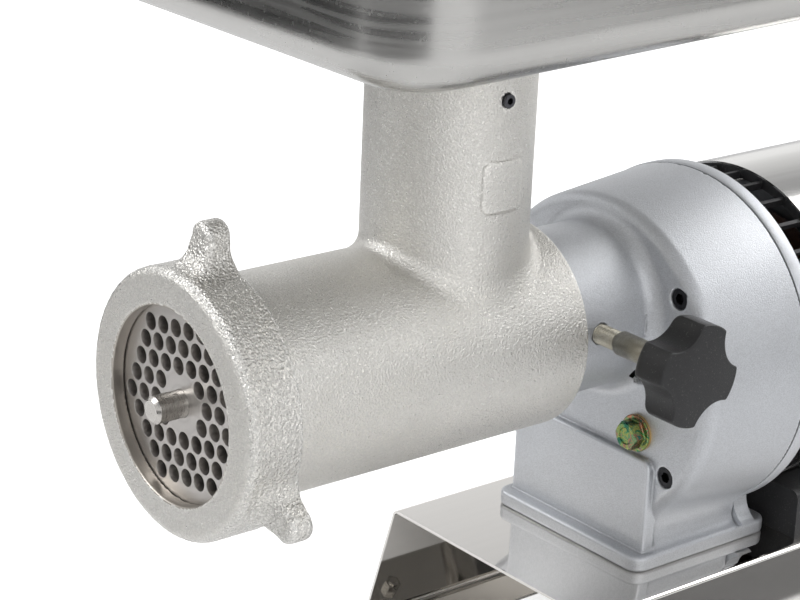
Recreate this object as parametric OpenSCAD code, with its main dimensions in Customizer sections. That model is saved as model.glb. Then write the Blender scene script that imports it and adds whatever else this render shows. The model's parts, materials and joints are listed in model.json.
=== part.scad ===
// Electric meat grinder, size 32.
// Millimetres, +Z up, +Y from the cutting end to the motor, +X on the clamp knob side.
// Inside the modules the barrel axis runs along Y through the feed throat's axis;
// at_axis() then sets the machine on the table with its feet at z = 0.

/* [Head] */
// Inside radius of the barrel
bore_r = 43; // [38:1:48]
// Wall of the barrel
barrel_wall = 8.3; // [6:0.1:10]
// Distance from the throat's axis to the barrel's rear face
barrel_rear = 49.3; // [47:0.1:56]
// Distance from the throat's axis to the barrel's front face
barrel_front = 144.3; // [132:0.1:160]
// Inside radius of the feed throat
throat_bore_r = 33; // [28:1:35]
// Wall of the feed throat
throat_wall = 6.6; // [5:0.1:8]
// Height of the throat's top above the barrel axis
throat_top = 140; // [125:1:150]
// Wall of the threaded collar outside the plate pocket
collar_wall = 6.4; // [5:0.1:8]
// Length of the threaded collar
collar_l = 22; // [16:1:26]
// Radius of the spigot that plugs into the gearbox neck
spigot_r = 34.9; // [32:0.1:38]
// Length of that spigot
spigot_l = 48.7; // [40:0.1:55]

/* [Ring nut] */
// Wall of the ring nut outside its thread
ring_wall = 5.7; // [4.5:0.1:8]
// Length of the ring nut
ring_l = 27.8; // [24:0.1:34]
// Thickness of the ring nut's front lip
ring_lip = 6.5; // [5:0.1:8]
// Radius of the ring nut's mouth
mouth_r = 45; // [42:0.5:46]
// Number of grip lugs
lug_count = 3; // [2:1:4]
// Height of a lug above the ring
lug_h = 20; // [14:1:26]
// Width of a lug at its root
lug_w = 22; // [16:1:28]
// Thickness of a lug along the axis
lug_t = 17; // [10:1:20]
// Thread pitch of the ring nut
ring_pitch = 4; // [3:0.5:6]

/* [Cutting set] */
// Thickness of the cutting plate
plate_t = 10; // [8:0.5:12]
// Diameter of the plate's holes
plate_hole_d = 8; // [4:0.5:8.5]
// Centre distance of the plate's holes
plate_hole_pitch = 9.8; // [9.4:0.1:14]
// Radius of the ledge that the plate seats on, outside the bore
plate_ledge = 6.2; // [5:0.1:7]
// Diameter of the spindle that turns in the plate's hub
spindle_d = 12.7; // [10:0.1:16]
// Thickness of the knife
knife_t = 12; // [8:1:14]
// Width across the flats of the knife square
knife_af = 17; // [14:0.5:20]
// Lead of the worm's flight
worm_lead = 52; // [40:1:70]
// Radius of the worm's core
worm_core_r = 17; // [14:1:22]
// Width across the flats of the worm's drive tang
tang_af = 18; // [15:0.5:19]

/* [Gearbox] */
// Height of the barrel axis above the gearbox foot
axis_drop = 127; // [120:1:145]
// Distance of the motor axis below the barrel axis
motor_drop = 30; // [28:0.5:32]
// Radius of the gearbox drum at its front edge
drum_front_r = 83; // [80:0.5:90]
// Radius of the gearbox drum at its rear edge
drum_rear_r = 88.7; // [86:0.1:98]
// Distance from the throat's axis to the drum's front face
drum_front = 102; // [101:0.5:106]
// Length of the drum
drum_l = 61; // [60:0.5:70]
// Wall of the drum
drum_wall = 7; // [5:0.5:10]
// Wall of the neck around the spigot
neck_wall = 6.6; // [5:0.1:9]
// Width of the gearbox foot
foot_w = 106.8; // [96:0.1:120]
// Thickness of the foot's flange
foot_t = 8; // [6:0.5:12]

/* [Motor] */
// Radius of the motor's shroud
shroud_r = 84.3; // [82:0.1:92]
// Length of the motor's shroud
shroud_l = 207; // [200:1:240]
// Sheet thickness of the shroud
shroud_t = 1; // [0.8:0.1:1.5]
// Length of the vented ring in front of the shroud
vent_l = 24; // [18:1:32]
// Number of ribs in the vented ring
vent_ribs = 32; // [20:1:40]
// Length of the stator core
core_l = 90; // [70:1:95]

/* [Base] */
// Height of the folded base
base_h = 73; // [60:1:90]
// Length of the folded base
base_l = 352; // [330:1:380]
// Half width of the base's top
base_top_hw = 74; // [70:1:80]
// Outward lean of the base's sides, in mm over the base's height
base_lean = 21.8; // [10:0.1:30]
// Sheet thickness of the base
sheet_t = 1.5; // [1.2:0.1:2.5]
// Height of the rubber feet
foot_h = 12; // [8:1:20]
// Radius of the rubber feet
foot_r = 14; // [10:0.5:16]

/* [Tray] */
// Length of the tray
tray_l = 360; // [320:1:400]
// Width of the tray
tray_w = 254; // [230:1:300]
// Depth of the tray
tray_h = 66; // [50:1:90]
// Corner radius of the tray, seen from above
tray_corner_r = 38; // [30:1:60]
// Radius between the tray's floor and its walls
tray_edge_r = 19; // [12:1:26]
// Sheet thickness of the tray
tray_t = 1.5; // [1.2:0.1:2.5]
// Height of the tray's floor above the throat's top
tray_lift = 18; // [10:1:26]
// Length of the tray's spigot inside the throat
tray_spigot_l = 35; // [25:1:45]

/* [Clamp] */
// Distance from the throat's axis to the clamp knob's axis
clamp_y = 66.5; // [62:0.5:72]
// Height of the clamp knob's axis
clamp_z = 2; // [0:0.5:4]
// Radius of the clamp knob
knob_r = 25; // [20:0.5:30]
// Thickness of the clamp knob
knob_t = 20; // [16:0.5:26]
// Distance from the barrel axis to the back of the knob
knob_x = 87.5; // [84:0.5:90]
// Number of lobes on the knob
knob_lobes = 4; // [3:1:6]
// Thread diameter of the clamp stud
stud_d = 10; // [8:1:12]

/* [Switches] */
// Length of the switch box
box_l = 96; // [80:1:110]
// Height of the switch box
box_h = 26; // [24:1:27]
// Diameter of the power lead that the gland takes
cord_d = 8; // [6:0.5:9]

/* [Fits] */
// Radial gap of a turning fit
run_gap = 0.05; // [0.02:0.01:0.08]
// Radial gap between parts that only pass each other
pass_gap = 0.3; // [0.2:0.05:0.5]

/* [Hidden] */
$fn = 96;
cut = 1;
barrel_r = bore_r + barrel_wall;
plate_r = bore_r + plate_ledge;
pocket_r = plate_r + pass_gap;
collar_r = pocket_r + collar_wall;
ring_r = collar_r + pass_gap + ring_wall;
throat_r = throat_bore_r + throat_wall;
plate_proud = 1.7;
plate_front = -(barrel_front + plate_proud);
plate_back = plate_front + plate_t;
ring_front = plate_front - pass_gap - ring_lip;
ring_back = ring_front + ring_l;
bulkhead = barrel_rear - 13.8;
washer_t = 2.5;
shank_r = 16;
bush_wall = 4;
spigot_end = barrel_rear + spigot_l;
tang_l = 22;
tang_start = spigot_end - 1;
knife_back = plate_back + 0.1 + knife_t;
worm_back = bulkhead - washer_t - pass_gap;
worm_front = knife_back + pass_gap;
spindle_r = spindle_d / 2;
spindle_tip = plate_front - 15.8;
socket_r = spigot_r + 0.1;
neck_r = socket_r + neck_wall;
neck_front = barrel_rear + pass_gap;
socket_end = spigot_end + 0.5;
flat_x = neck_r - 0.7;
key_flat = spigot_r - 1.4;
pad_z = throat_top - 54;
pad_w = 23;
pad_h = 24;
pad_corner_r = 4;

// Gear train: motor pinion, countershaft and output shaft
tooth_step_1 = 1.5;
tooth_step_2 = 1.75;
pinion_teeth = 12;
wheel_teeth = 36;
pressure = 25;
backlash = 0.45;
reach_1 = tooth_step_1 * (pinion_teeth + wheel_teeth) / 2;
reach_2 = tooth_step_2 * (pinion_teeth + wheel_teeth) / 2;
counter_z = (reach_1 * reach_1 - reach_2 * reach_2 - motor_drop * motor_drop) / (2 * motor_drop);
counter_x = sqrt(reach_2 * reach_2 - counter_z * counter_z);
half_pinion = 180 / pinion_teeth;
aim_1 = atan2(counter_z + motor_drop, counter_x);
aim_2 = atan2(-counter_z, -counter_x);
seal_y = socket_end;
seal_w = 4.5;
front_bearing_y = seal_y + seal_w;
front_bearing_w = 13;
out_journal_r = 15;
front_bearing_r = 27.5;
seal_r = 26;
wheel_2_y = front_bearing_y + front_bearing_w + 5;
wheel_2_w = 18;
wheel_1_y = wheel_2_y + wheel_2_w + 5;
wheel_1_w = 12;
small_bore_r = 7.5;
small_bearing_r = 17.5;
small_bearing_w = 11;
counter_r = 7;
counter_bush_r = 11;
counter_bush_w = 12;
counter_bearing_r = 14;
counter_bearing_w = 9;
drum_back = drum_front + drum_l;
gasket_t = 0.5;
flange_front = drum_back + gasket_t;
flange_t = 9.5;
flange_back = flange_front + flange_t;
inner_boss = 6;
cavity_r = drum_front_r - drum_wall;
screw_xz = [[55.5, 17], [-55.5, 17], [56, -76], [-56, -76]];
plug_x = 36;
plug_z = -58.6;
foot_front = drum_front - 11.7;  // the flange reaches ahead of the drum
foot_back = flange_back + 12.3;
foot_bolt_xy = [[40, foot_front + 12], [-40, foot_front + 12], [40, foot_back - 12], [-40, foot_back - 12]];

// Motor
vent_back = flange_back + vent_l;
shroud_front = vent_back;
shroud_back = shroud_front + shroud_l;
motor_bearing_y = flange_back + 1;
winding_l = 20;
core_front = vent_back + 26;
core_back = core_front + core_l;
core_r = 70;
air_gap_r = 38.3;
rotor_r = 38;
rear_shield_y = core_back + winding_l + 12;
rear_shield_t = 12;
fan_y = rear_shield_y + rear_shield_t + 6;
fan_w = 20;
cap_t = 6;
tie_xz = [for (a = [45 : 90 : 315]) [62 * cos(a), 62 * sin(a)]];

// Base, tray, clamp and switches
base_front = drum_front - 62.4;
base_back = base_front + base_l;
base_bottom = -axis_drop - base_h;
foot_xy = [for (x = [-1, 1], y = [base_front + 26, base_back - 26])
    [x * (base_top_hw + base_lean - foot_r - 1), y]];
tray_front = -132;
tray_slope = 1.4;
tray_z = throat_top + tray_lift;
tray_flare = 3;
rim_w = 4;
rim_t = 2.5;
stud_r = stud_d / 2;
shank_x = neck_r + 12.5;
knob_turned = 70;
box_front = flange_back + 16;
box_right = base_top_hw - 5.5;
box_left = 22;
box_wall = 2.5;
rocker_y = box_front + 34;
reset_y = box_front + 68;
box_screw_y = [box_front + 16, box_front + box_l - 16];
table_z = base_bottom - foot_h;
cradle_y = shroud_back - 70;
cradle_hw = 46;
cradle_top = -motor_drop - 0.866 * shroud_r;
cradle_bolt_x = 24;
cap_y = shroud_back - 187.4;
cap_x = -30;
cap_r = 20;
cap_l = 90;
cap_gap = 0.3;
cap_z = -axis_drop - sheet_t - cap_gap - cap_r;
strap_t = 1.2;
strap_w = 14;
machine_front = spindle_tip;
machine_back = shroud_back + cap_t;

// ---------- helpers ----------

// Puts the barrel axis at its height over the table and centres the machine along Y.
module at_axis()
    translate([0, -(machine_front + machine_back) / 2, -table_z]) children();

// A cylinder along Y.
module rod_y(r, y0, y1)
    translate([0, y0, 0]) rotate([-90, 0, 0]) cylinder(r = r, h = y1 - y0);

// A cylinder along X.
module rod_x(r, x0, x1)
    translate([x0, 0, 0]) rotate([0, 90, 0]) cylinder(r = r, h = x1 - x0);

// A cylinder along Z.
module rod_z(r, z0, z1)
    translate([0, 0, z0]) cylinder(r = r, h = z1 - z0);

// A tube along Y.
module tube_y(r_out, r_in, y0, y1)
    difference() {
        rod_y(r_out, y0, y1);
        rod_y(r_in, y0 - cut, y1 + cut);
    }

// A shape turned about Y; its points are [radius, y].
module turned_y(points)
    rotate([-90, 0, 0]) rotate_extrude() polygon(points);

// A flat XZ outline given thickness along Y.
module along_y(y0, y1)
    translate([0, y1, 0]) rotate([90, 0, 0]) linear_extrude(y1 - y0) children();

// A square bar along Y, centred on the axis.
module square_bar_y(af, y0, y1)
    translate([-af / 2, y0, -af / 2]) cube([af, y1 - y0, af]);

// A box between two corners.
module block(low, high)
    translate(low) cube(high - low);

// Points of a quarter circle, from one angle to another.
function arc(cx, cy, r, a0, a1, n = 8) =
    [for (i = [0 : n]) let (a = a0 + (a1 - a0) * i / n) [cx + r * cos(a), cy + r * sin(a)]];

// Rolling angle of an involute at a pressure angle, in degrees.
function roll(a) = tan(a) * 180 / PI - a;

// Half the angle that a tooth fills at radius r.
function half_tooth(teeth, rb, r) =
    90 / teeth - backlash * 6 / teeth + roll(pressure) - roll(acos(min(1, rb / r)));

// One point at radius r and angle a.
function polar(r, a) = [r * cos(a), r * sin(a)];

// Outline of an involute spur gear.
function gear_outline(teeth, step) =
    let (rp = teeth * step / 2, rb = rp * cos(pressure), r0 = rp - 1.2 * step, r1 = rp + 0.95 * step,
        rs = [for (i = [0 : 5]) r0 + (r1 - r0) * i / 5])
    [for (t = [0 : teeth - 1]) let (a = t * 360 / teeth)
        each concat(
            [for (i = [0 : 5]) polar(rs[i], a - half_tooth(teeth, rb, rs[i]))],
            [for (i = [5 : -1 : 0]) polar(rs[i], a + half_tooth(teeth, rb, rs[i]))])];

// A spur gear along Y, turned so that a tooth points at angle aim.
module gear(teeth, step, y0, y1, aim, hole_r)
    along_y(y0, y1) difference() {
        rotate(aim) polygon(gear_outline(teeth, step));
        circle(r = hole_r);
    }

// A ball bearing along Y: two races and a ring of balls.
module bearing(r_in, r_out, y0, w) {
    ball_r = min((r_out - r_in) * 0.22, w * 0.32);
    mid_r = (r_in + r_out) / 2;
    lip = ball_r * 0.55;
    difference() {
        tube_y(r_out, mid_r + lip, y0, y0 + w);
        ball_track(mid_r, ball_r + 0.05, y0 + w / 2);
    }
    difference() {
        tube_y(mid_r - lip, r_in + run_gap, y0, y0 + w);
        ball_track(mid_r, ball_r + 0.05, y0 + w / 2);
    }
    for (a = [0 : 45 : 315])
        translate([mid_r * cos(a), y0 + w / 2, mid_r * sin(a)]) sphere(r = ball_r, $fn = 24);
}

// The groove that bearing balls run in.
module ball_track(mid_r, r, y)
    translate([0, y, 0]) rotate([-90, 0, 0]) rotate_extrude() translate([mid_r, 0]) circle(r = r);

// A socket screw along Y with its head at y0, pointing towards +Y.
module socket_screw_y(r, y0, length) {
    difference() {
        rod_y(r * 1.65, y0, y0 + 2 * r);
        rod_y(r * 0.95, y0 - cut, y0 + r * 1.1, $fn = 6);
    }
    rod_y(r, y0 + 2 * r, y0 + length);
}

// A bent sheet: the path's points are its middle line.
module bent_sheet(path, t) {
    for (i = [0 : len(path) - 2])
        let (a = path[i], b = path[i + 1], v = b - a)
            translate(a) rotate(atan2(v.y, v.x)) translate([0, -t / 2]) square([norm(v), t]);
    for (p = path)
        translate(p) circle(d = t, $fn = 24);
}

// ---------- head ----------

module head_casting()
    color("gainsboro") at_axis() difference() {
        union() {
            turned_y(concat(
                [[0, -barrel_front], [collar_r - 1.5, -barrel_front], [collar_r, -barrel_front + 1.5]],
                [[collar_r, -barrel_front + collar_l], [barrel_r, -barrel_front + collar_l + 5]],
                [[barrel_r, barrel_rear - 0.8], [barrel_r - 0.8, barrel_rear], [spigot_r, barrel_rear]],
                [[spigot_r, spigot_end - 1.5], [spigot_r - 1.5, spigot_end], [0, spigot_end]]));
            rod_z(throat_r, 0, throat_top);
            plain_pad();
        }
        rod_y(bore_r, -barrel_front - cut, bulkhead);
        rod_y(pocket_r, -barrel_front - cut, plate_back + pass_gap);
        rod_y(shank_r + run_gap + bush_wall, bulkhead - cut, spigot_end + cut);
        rod_z(throat_bore_r, 0, throat_top + cut);
        block([key_flat, clamp_y - stud_r - 3, -barrel_r], [barrel_r, spigot_end + cut, barrel_r]);
        translate([0, 0, set_screw_z()]) rod_x(3, 0, throat_r + cut);
        translate([0, 0, -pocket_r]) rod_y(2.5, -barrel_front - cut, plate_back + 6);
    }

// Height of the screw that holds the tray's spigot.
function set_screw_z() = throat_top - 14.4;

// Plain raised pad on the throat.
module plain_pad()
    intersection() {
        rod_z(throat_r + 1, pad_z - pad_h, pad_z + pad_h);
        translate([0, 0, pad_z]) rotate([90, 0, 90]) linear_extrude(throat_r + 2) {
            square([pad_w, pad_h - 2 * pad_corner_r], center = true);
            square([pad_w - 2 * pad_corner_r, pad_h], center = true);
            for (x = [-1, 1], y = [-1, 1])
                translate([x * (pad_w / 2 - pad_corner_r), y * (pad_h / 2 - pad_corner_r)])
                    circle(r = pad_corner_r);
        }
    }

module worm_bush()
    color("peru") at_axis()
        tube_y(shank_r + run_gap + bush_wall, shank_r + run_gap, bulkhead, spigot_end);

module thrust_washer()
    color("khaki") at_axis()
        tube_y(bore_r - 12, shank_r + 1, bulkhead - washer_t, bulkhead);

module plate_key_pin()
    color("silver") at_axis()
        translate([0, 0, -pocket_r]) rod_y(2.5, -barrel_front + 0.5, plate_back + 6);

module throat_set_screw()
    color("dimgray") at_axis()
        translate([0, 0, set_screw_z()]) difference() {
            union() {
                rod_x(3, throat_bore_r + 0.1, throat_r + 1.2);
                rod_x(1.8, throat_bore_r - 0.05, throat_bore_r + 0.2);
            }
            rod_x(1.7, throat_r - 2, throat_r + 2, $fn = 6);
        }

// ---------- cutting set ----------

module worm()
    color("lightgray") at_axis() difference() {
        translate([0, worm_back, 0]) rotate([90, 0, 0])
            linear_extrude(worm_back - worm_front, twist = -360 * (worm_back - worm_front) / worm_lead,
                slices = 54)
                flight_section();
        square_bar_y(knife_af + 3, worm_front - cut, worm_back + cut);
    }

// Cross-section of the worm: a round core and one flight.
module flight_section()
    polygon([for (a = [0 : 15 : 345])
        let (lift = max(0, 1 - pow(abs(a - 180) / 62, 3)), r_tip = bore_r - 1.2)
            polar(worm_core_r + (r_tip - worm_core_r) * lift, a)]);

module worm_shaft()
    color("silver") at_axis() {
        square_bar_y(knife_af + 3, worm_front + 1, worm_back);
        square_bar_y(knife_af, plate_back + 0.1, worm_front + 1);
        turned_y([[0, spindle_tip], [spindle_r - 1.6, spindle_tip], [spindle_r, spindle_tip + 1.6],
            [spindle_r, plate_back + 0.1], [0, plate_back + 0.1]]);
        rod_y(shank_r, worm_back, tang_start);
        square_bar_y(tang_af, tang_start, tang_start + tang_l);
    }

module knife()
    color("silver") at_axis() along_y(plate_back + 0.1, knife_back) difference() {
        union() {
            circle(r = knife_af * 0.95);
            for (a = [0 : 90 : 270])
                rotate(a) polygon([[0, -10], [bore_r - 3.5, -6], [bore_r - 2.5, 0], [bore_r - 4, 4], [0, 9]]);
        }
        square(knife_af + 2 * run_gap, center = true);
    }

// Hexagonal lattice of the plate's holes, clear of the hub and all inside the mouth.
function plate_holes() =
    [for (i = [-6 : 6], j = [-6 : 6])
        let (p = plate_hole_pitch * [i + j / 2, j * sqrt(3) / 2], r = norm(p))
            if (r > spindle_r + plate_hole_d / 2 + 4 && r < mouth_r - plate_hole_d / 2 - 1) p];

module cutting_plate()
    color("lightgray") at_axis() difference() {
        rod_y(plate_r, plate_front, plate_back);
        rod_y(spindle_r + run_gap, plate_front - cut, plate_back + cut);
        translate([0, 0, -pocket_r]) rod_y(3, plate_front - cut, plate_back + cut);
        rotate([0, -8.2, 0]) for (p = plate_holes())
            translate([p.x, 0, p.y]) rod_y(plate_hole_d / 2, plate_front - cut, plate_back + cut);
    }

module ring_nut()
    color("gainsboro") at_axis() difference() {
        union() {
            turned_y(concat(
                [[mouth_r, ring_front], [ring_r - 7, ring_front]],
                arc(ring_r - 7, ring_front + 7, 7, -90, 0),
                [[ring_r, ring_back - 1.5], [ring_r - 1.5, ring_back], [mouth_r, ring_back]]));
            for (a = [90 : 360 / lug_count : 449])
                along_y(ring_back - lug_t, ring_back) rotate(a) lug_outline();
        }
        rod_y(collar_r + pass_gap, ring_front + ring_lip, ring_back + cut);
    }

// A lug seen along the axis: a tapering horn with a round tip.
module lug_outline() {
    tip_r = lug_w * 0.34;
    polygon([[ring_r - 4, -lug_w / 2 - 2], [ring_r + 4, -lug_w * 0.38], [ring_r + lug_h - tip_r, -tip_r],
        [ring_r + lug_h - tip_r, tip_r], [ring_r + 4, lug_w * 0.38], [ring_r - 4, lug_w / 2 + 2]]);
    translate([ring_r + lug_h - tip_r, 0]) circle(r = tip_r);
}

// ---------- tray ----------

// Solid with the tray's outline, moved in from the outside by inset.
module tray_solid(inset, top)
    hull() {
        for (x = [-1, 1], y = [0, 1])
            translate([x * (tray_w / 2 - tray_corner_r),
                tray_front + tray_corner_r + y * (tray_l - 2 * tray_corner_r),
                tray_floor(tray_front + tray_corner_r + y * (tray_l - 2 * tray_corner_r)) + inset])
                rotate_extrude($fn = 48) polygon(concat([[0, 0]],
                    arc(tray_corner_r - tray_edge_r, tray_edge_r - inset, tray_edge_r - inset, -90, 0, 6),
                    [[0, tray_edge_r - inset]]));
        for (x = [-1, 1], y = [0, 1])
            translate([x * (tray_w / 2 - tray_corner_r),
                tray_front + tray_corner_r + y * (tray_l - 2 * tray_corner_r), tray_z + tray_h - 1])
                cylinder(r = tray_corner_r + tray_flare - inset, h = 1 + top, $fn = 48);
    }

// Height of the tray's underside, which rises gently towards the rear.
function tray_floor(y) = tray_z + (y - tray_front) * tan(tray_slope);

// A height that is just clear of the tray's underside.
function tray_under(y) = tray_floor(y - tray_corner_r + tray_edge_r) - 0.1;

module tray()
    color("silver") at_axis() difference() {
        union() {
            tray_solid(0, 0);
            hull() for (x = [-1, 1], y = [0, 1])
                translate([x * (tray_w / 2 - tray_corner_r),
                    tray_front + tray_corner_r + y * (tray_l - 2 * tray_corner_r), tray_z + tray_h - rim_t])
                    cylinder(r = tray_corner_r + tray_flare + rim_w, h = rim_t, $fn = 48);
        }
        tray_solid(tray_t, cut);
        rod_z(throat_bore_r - 0.2 + run_gap, tray_z - cut, tray_z + 12);
    }

module tray_collar()
    color("silver") at_axis() difference() {
        union() {
            rod_z(throat_bore_r - 0.2, throat_top - tray_spigot_l, tray_floor(throat_bore_r) + tray_t);
            rod_z(throat_r - 1, throat_top + 0.1, tray_under(-throat_r));
        }
        rod_z(throat_bore_r - 2, throat_top - tray_spigot_l - cut, tray_z + 30);
    }

// ---------- gearbox ----------

module drum_profile()
    translate([0, 0, -motor_drop]) turned_y(concat(
        [[0, drum_front]],
        arc(drum_front_r - 6, drum_front + 6, 6, -90, -5),
        [[drum_rear_r, drum_back], [0, drum_back]]));

module neck_profile()
    turned_y(concat(
        [[0, neck_front], [neck_r - 1, neck_front], [neck_r, neck_front + 1]],
        [for (i = [0 : 8]) let (a = 180 - 90 * i / 8)
            [neck_r + 8 + 8 * cos(a), drum_front - 8 + 8 * sin(a)]],
        [[neck_r + 8, drum_front + 4], [0, drum_front + 4]]));

// Outline of the pedestal between the drum and the foot.
module pedestal_outline(top) {
    hw = foot_w / 2;
    r = 14;
    polygon(concat(
        [[-hw + 6, top], [hw - 6, top], [hw - 6, -axis_drop + foot_t + r]],
        arc(hw - 6 + r, -axis_drop + foot_t + r, r, 180, 245, 6),
        [[hw, -axis_drop + foot_t], [hw, -axis_drop], [-hw, -axis_drop], [-hw, -axis_drop + foot_t]],
        arc(-hw + 6 - r, -axis_drop + foot_t + r, r, -65, 0, 6)));
}

module gear_housing()
    color("lightsteelblue") at_axis() difference() {
        union() {
            drum_profile();
            neck_profile();
            along_y(drum_front, drum_back) pedestal_outline(-60);
            raised_panel();
            foot_plate();
        }
        gear_cavity();
        rod_y(socket_r, neck_front - cut, socket_end);
        rod_y(seal_r, socket_end - cut, front_bearing_y + cut);
        block([flat_x, neck_front - cut, -8], [neck_r + 20, drum_front - 6, 6.4]);
        translate([0, clamp_y, clamp_z]) rod_x(stud_r + run_gap, 0, neck_r + cut);
        for (p = screw_xz)
            translate([p.x, 0, p.y]) {
                rod_y(5.4, drum_front - cut, drum_front + 7);
                rod_y(3.3, drum_front, drum_back + cut);
            }
        translate([plug_x, 0, plug_z]) rod_y(6, drum_front - cut, drum_front + drum_wall + 6);
        for (p = foot_bolt_xy)
            translate([p.x, p.y, 0]) rod_z(4, -axis_drop - cut, -axis_drop + foot_t - 1);
    }

// Raised cover on the lower front of the pedestal.
module raised_panel()
    along_y(drum_front - 4, drum_front + 2) {
        block_w = foot_w / 2 - 4.4;
        polygon(concat(
            [[-block_w, -axis_drop + 2], [block_w, -axis_drop + 2]],
            arc(block_w - 5, -75, 5, 0, 90, 5),
            arc(-block_w + 5, -75, 5, 90, 180, 5)));
    }

module foot_plate()
    translate([0, 0, -axis_drop]) linear_extrude(foot_t)
        polygon(concat(
            arc(foot_w / 2 - 8, foot_front + 8, 8, -90, 0), arc(foot_w / 2 - 8, foot_back - 8, 8, 0, 90),
            arc(-foot_w / 2 + 8, foot_back - 8, 8, 90, 180),
            arc(-foot_w / 2 + 8, foot_front + 8, 8, 180, 270)));

// Space inside the gearbox, leaving the bosses that hold bearings and screws.
module gear_cavity() {
    difference() {
        translate([0, 0, -motor_drop]) rod_y(cavity_r, drum_front + drum_wall, drum_back + cut);
        rod_y(front_bearing_r + 5, drum_front, front_bearing_y + front_bearing_w);
        translate([counter_x, 0, counter_z])
            rod_y(counter_bush_r + 4, drum_front, front_bearing_y + counter_bush_w);
        for (p = screw_xz)
            translate([p.x, 0, p.y]) rod_y(9, drum_front, drum_back + 2 * cut);
        translate([plug_x, 0, plug_z]) rod_y(9.5, drum_front, drum_front + drum_wall + 4);
    }
    rod_y(front_bearing_r, front_bearing_y, front_bearing_y + front_bearing_w + cut);
    translate([counter_x, 0, counter_z])
        rod_y(counter_bush_r, front_bearing_y, front_bearing_y + counter_bush_w + cut);
}

module housing_gasket()
    color("dimgray") at_axis() difference() {
        translate([0, 0, -motor_drop]) tube_y(drum_rear_r - 0.6, cavity_r, drum_back, flange_front);
        for (p = screw_xz)
            translate([p.x, 0, p.y]) rod_y(3.3, drum_back - cut, flange_front + cut);
    }

module motor_flange()
    color("lightsteelblue") at_axis() difference() {
        union() {
            translate([0, 0, -motor_drop]) {
                turned_y([[0, flange_front], [drum_rear_r, flange_front],
                    [drum_rear_r + 0.6, flange_front + 1], [drum_rear_r + 0.6, flange_back - 2],
                    [drum_rear_r - 1.4, flange_back], [0, flange_back]]);
                rod_y(small_bearing_r + 6, flange_back, motor_bearing_y + small_bearing_w + 1);
            }
            along_y(flange_front, flange_back) pedestal_outline(-60);
            rod_y(small_bearing_r + 4, flange_front - inner_boss, flange_front + 1);
            translate([counter_x, 0, counter_z])
                rod_y(counter_bearing_r + 4, flange_front - inner_boss, flange_front + 1);
        }
        rod_y(small_bearing_r, flange_front - inner_boss - cut, flange_front - inner_boss + small_bearing_w);
        translate([counter_x, 0, counter_z])
            rod_y(counter_bearing_r, flange_front - inner_boss - cut,
                flange_front - inner_boss + counter_bearing_w);
        translate([0, 0, -motor_drop]) {
            rod_y(small_bore_r + 1, flange_front - inner_boss - cut, flange_back + 2);
            rod_y(small_bearing_r, motor_bearing_y, motor_bearing_y + small_bearing_w + 2);
            for (p = tie_xz)
                translate([p.x, 0, p.y]) rod_y(2.5, flange_front + 3, flange_back + cut);
        }
        for (p = screw_xz)
            translate([p.x, 0, p.y]) rod_y(3, flange_front - cut, flange_back - 1.5);
        block([-foot_w, flange_front - cut, -axis_drop - cut],
            [foot_w, flange_back + cut, -axis_drop + foot_t + 0.2]);
    }

module housing_screws()
    color("black") at_axis()
        for (p = screw_xz)
            translate([p.x, 0, p.y]) socket_screw_y(3, drum_front + 1, drum_l + gasket_t + flange_t - 4);

module oil_plug()
    color("olivedrab") at_axis() translate([plug_x, 0, plug_z]) {
        rod_y(9.5, drum_front - 2.6, drum_front - 1.2);
        rod_y(7.6, drum_front - 9, drum_front - 2.6, $fn = 6);
        rod_y(5.95, drum_front - 1.2, drum_front + drum_wall + 3);
    }

module oil_plug_washer()
    color("peru") at_axis() translate([plug_x, 0, plug_z])
        tube_y(9.3, 6.1, drum_front - 1.2, drum_front);

// ---------- gear train ----------

module output_shaft()
    color("silver") at_axis() difference() {
        turned_y([[0, seal_y + 0.5], [out_journal_r, seal_y + 0.5], [out_journal_r, wheel_2_y + wheel_2_w],
            [11, wheel_2_y + wheel_2_w], [11, flange_front - inner_boss - 0.5],
            [small_bore_r, flange_front - inner_boss - 0.5],
            [small_bore_r, flange_front - inner_boss + small_bearing_w - 0.5],
            [0, flange_front - inner_boss + small_bearing_w - 0.5]]);
        square_bar_y(tang_af + 2 * 0.15, seal_y - cut, tang_start + tang_l + 1);
    }

module output_gear()
    color("goldenrod") at_axis()
        gear(wheel_teeth, tooth_step_2, wheel_2_y, wheel_2_y + wheel_2_w, aim_2 + 180, out_journal_r);

module output_seal()
    color("dimgray") at_axis()
        tube_y(seal_r, out_journal_r + run_gap, seal_y + 0.3, front_bearing_y - 0.1);

module output_front_bearing()
    color("silver") at_axis()
        bearing(out_journal_r, front_bearing_r, front_bearing_y, front_bearing_w);

module output_rear_bearing()
    color("silver") at_axis()
        bearing(small_bore_r, small_bearing_r, flange_front - inner_boss, small_bearing_w);

module countershaft()
    color("silver") at_axis() translate([counter_x, 0, counter_z]) {
        rod_y(counter_r, front_bearing_y + 0.5, wheel_2_y - 0.5);
        gear(pinion_teeth, tooth_step_2, wheel_2_y - 0.5, wheel_2_y + wheel_2_w + 0.5,
            aim_2 + half_pinion, 0.01);
        rod_y(counter_r, wheel_2_y + wheel_2_w + 0.5, flange_front - inner_boss + counter_bearing_w - 0.5);
    }

module counter_gear()
    color("goldenrod") at_axis() translate([counter_x, 0, counter_z])
        gear(wheel_teeth, tooth_step_1, wheel_1_y, wheel_1_y + wheel_1_w, aim_1 + 180, counter_r);

module countershaft_bush()
    color("peru") at_axis() translate([counter_x, 0, counter_z])
        tube_y(counter_bush_r, counter_r + run_gap, front_bearing_y, front_bearing_y + counter_bush_w);

module countershaft_bearing()
    color("silver") at_axis() translate([counter_x, 0, counter_z])
        bearing(counter_r, counter_bearing_r, flange_front - inner_boss, counter_bearing_w);

// ---------- motor ----------

module at_motor()
    translate([0, 0, -motor_drop]) children();

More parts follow.
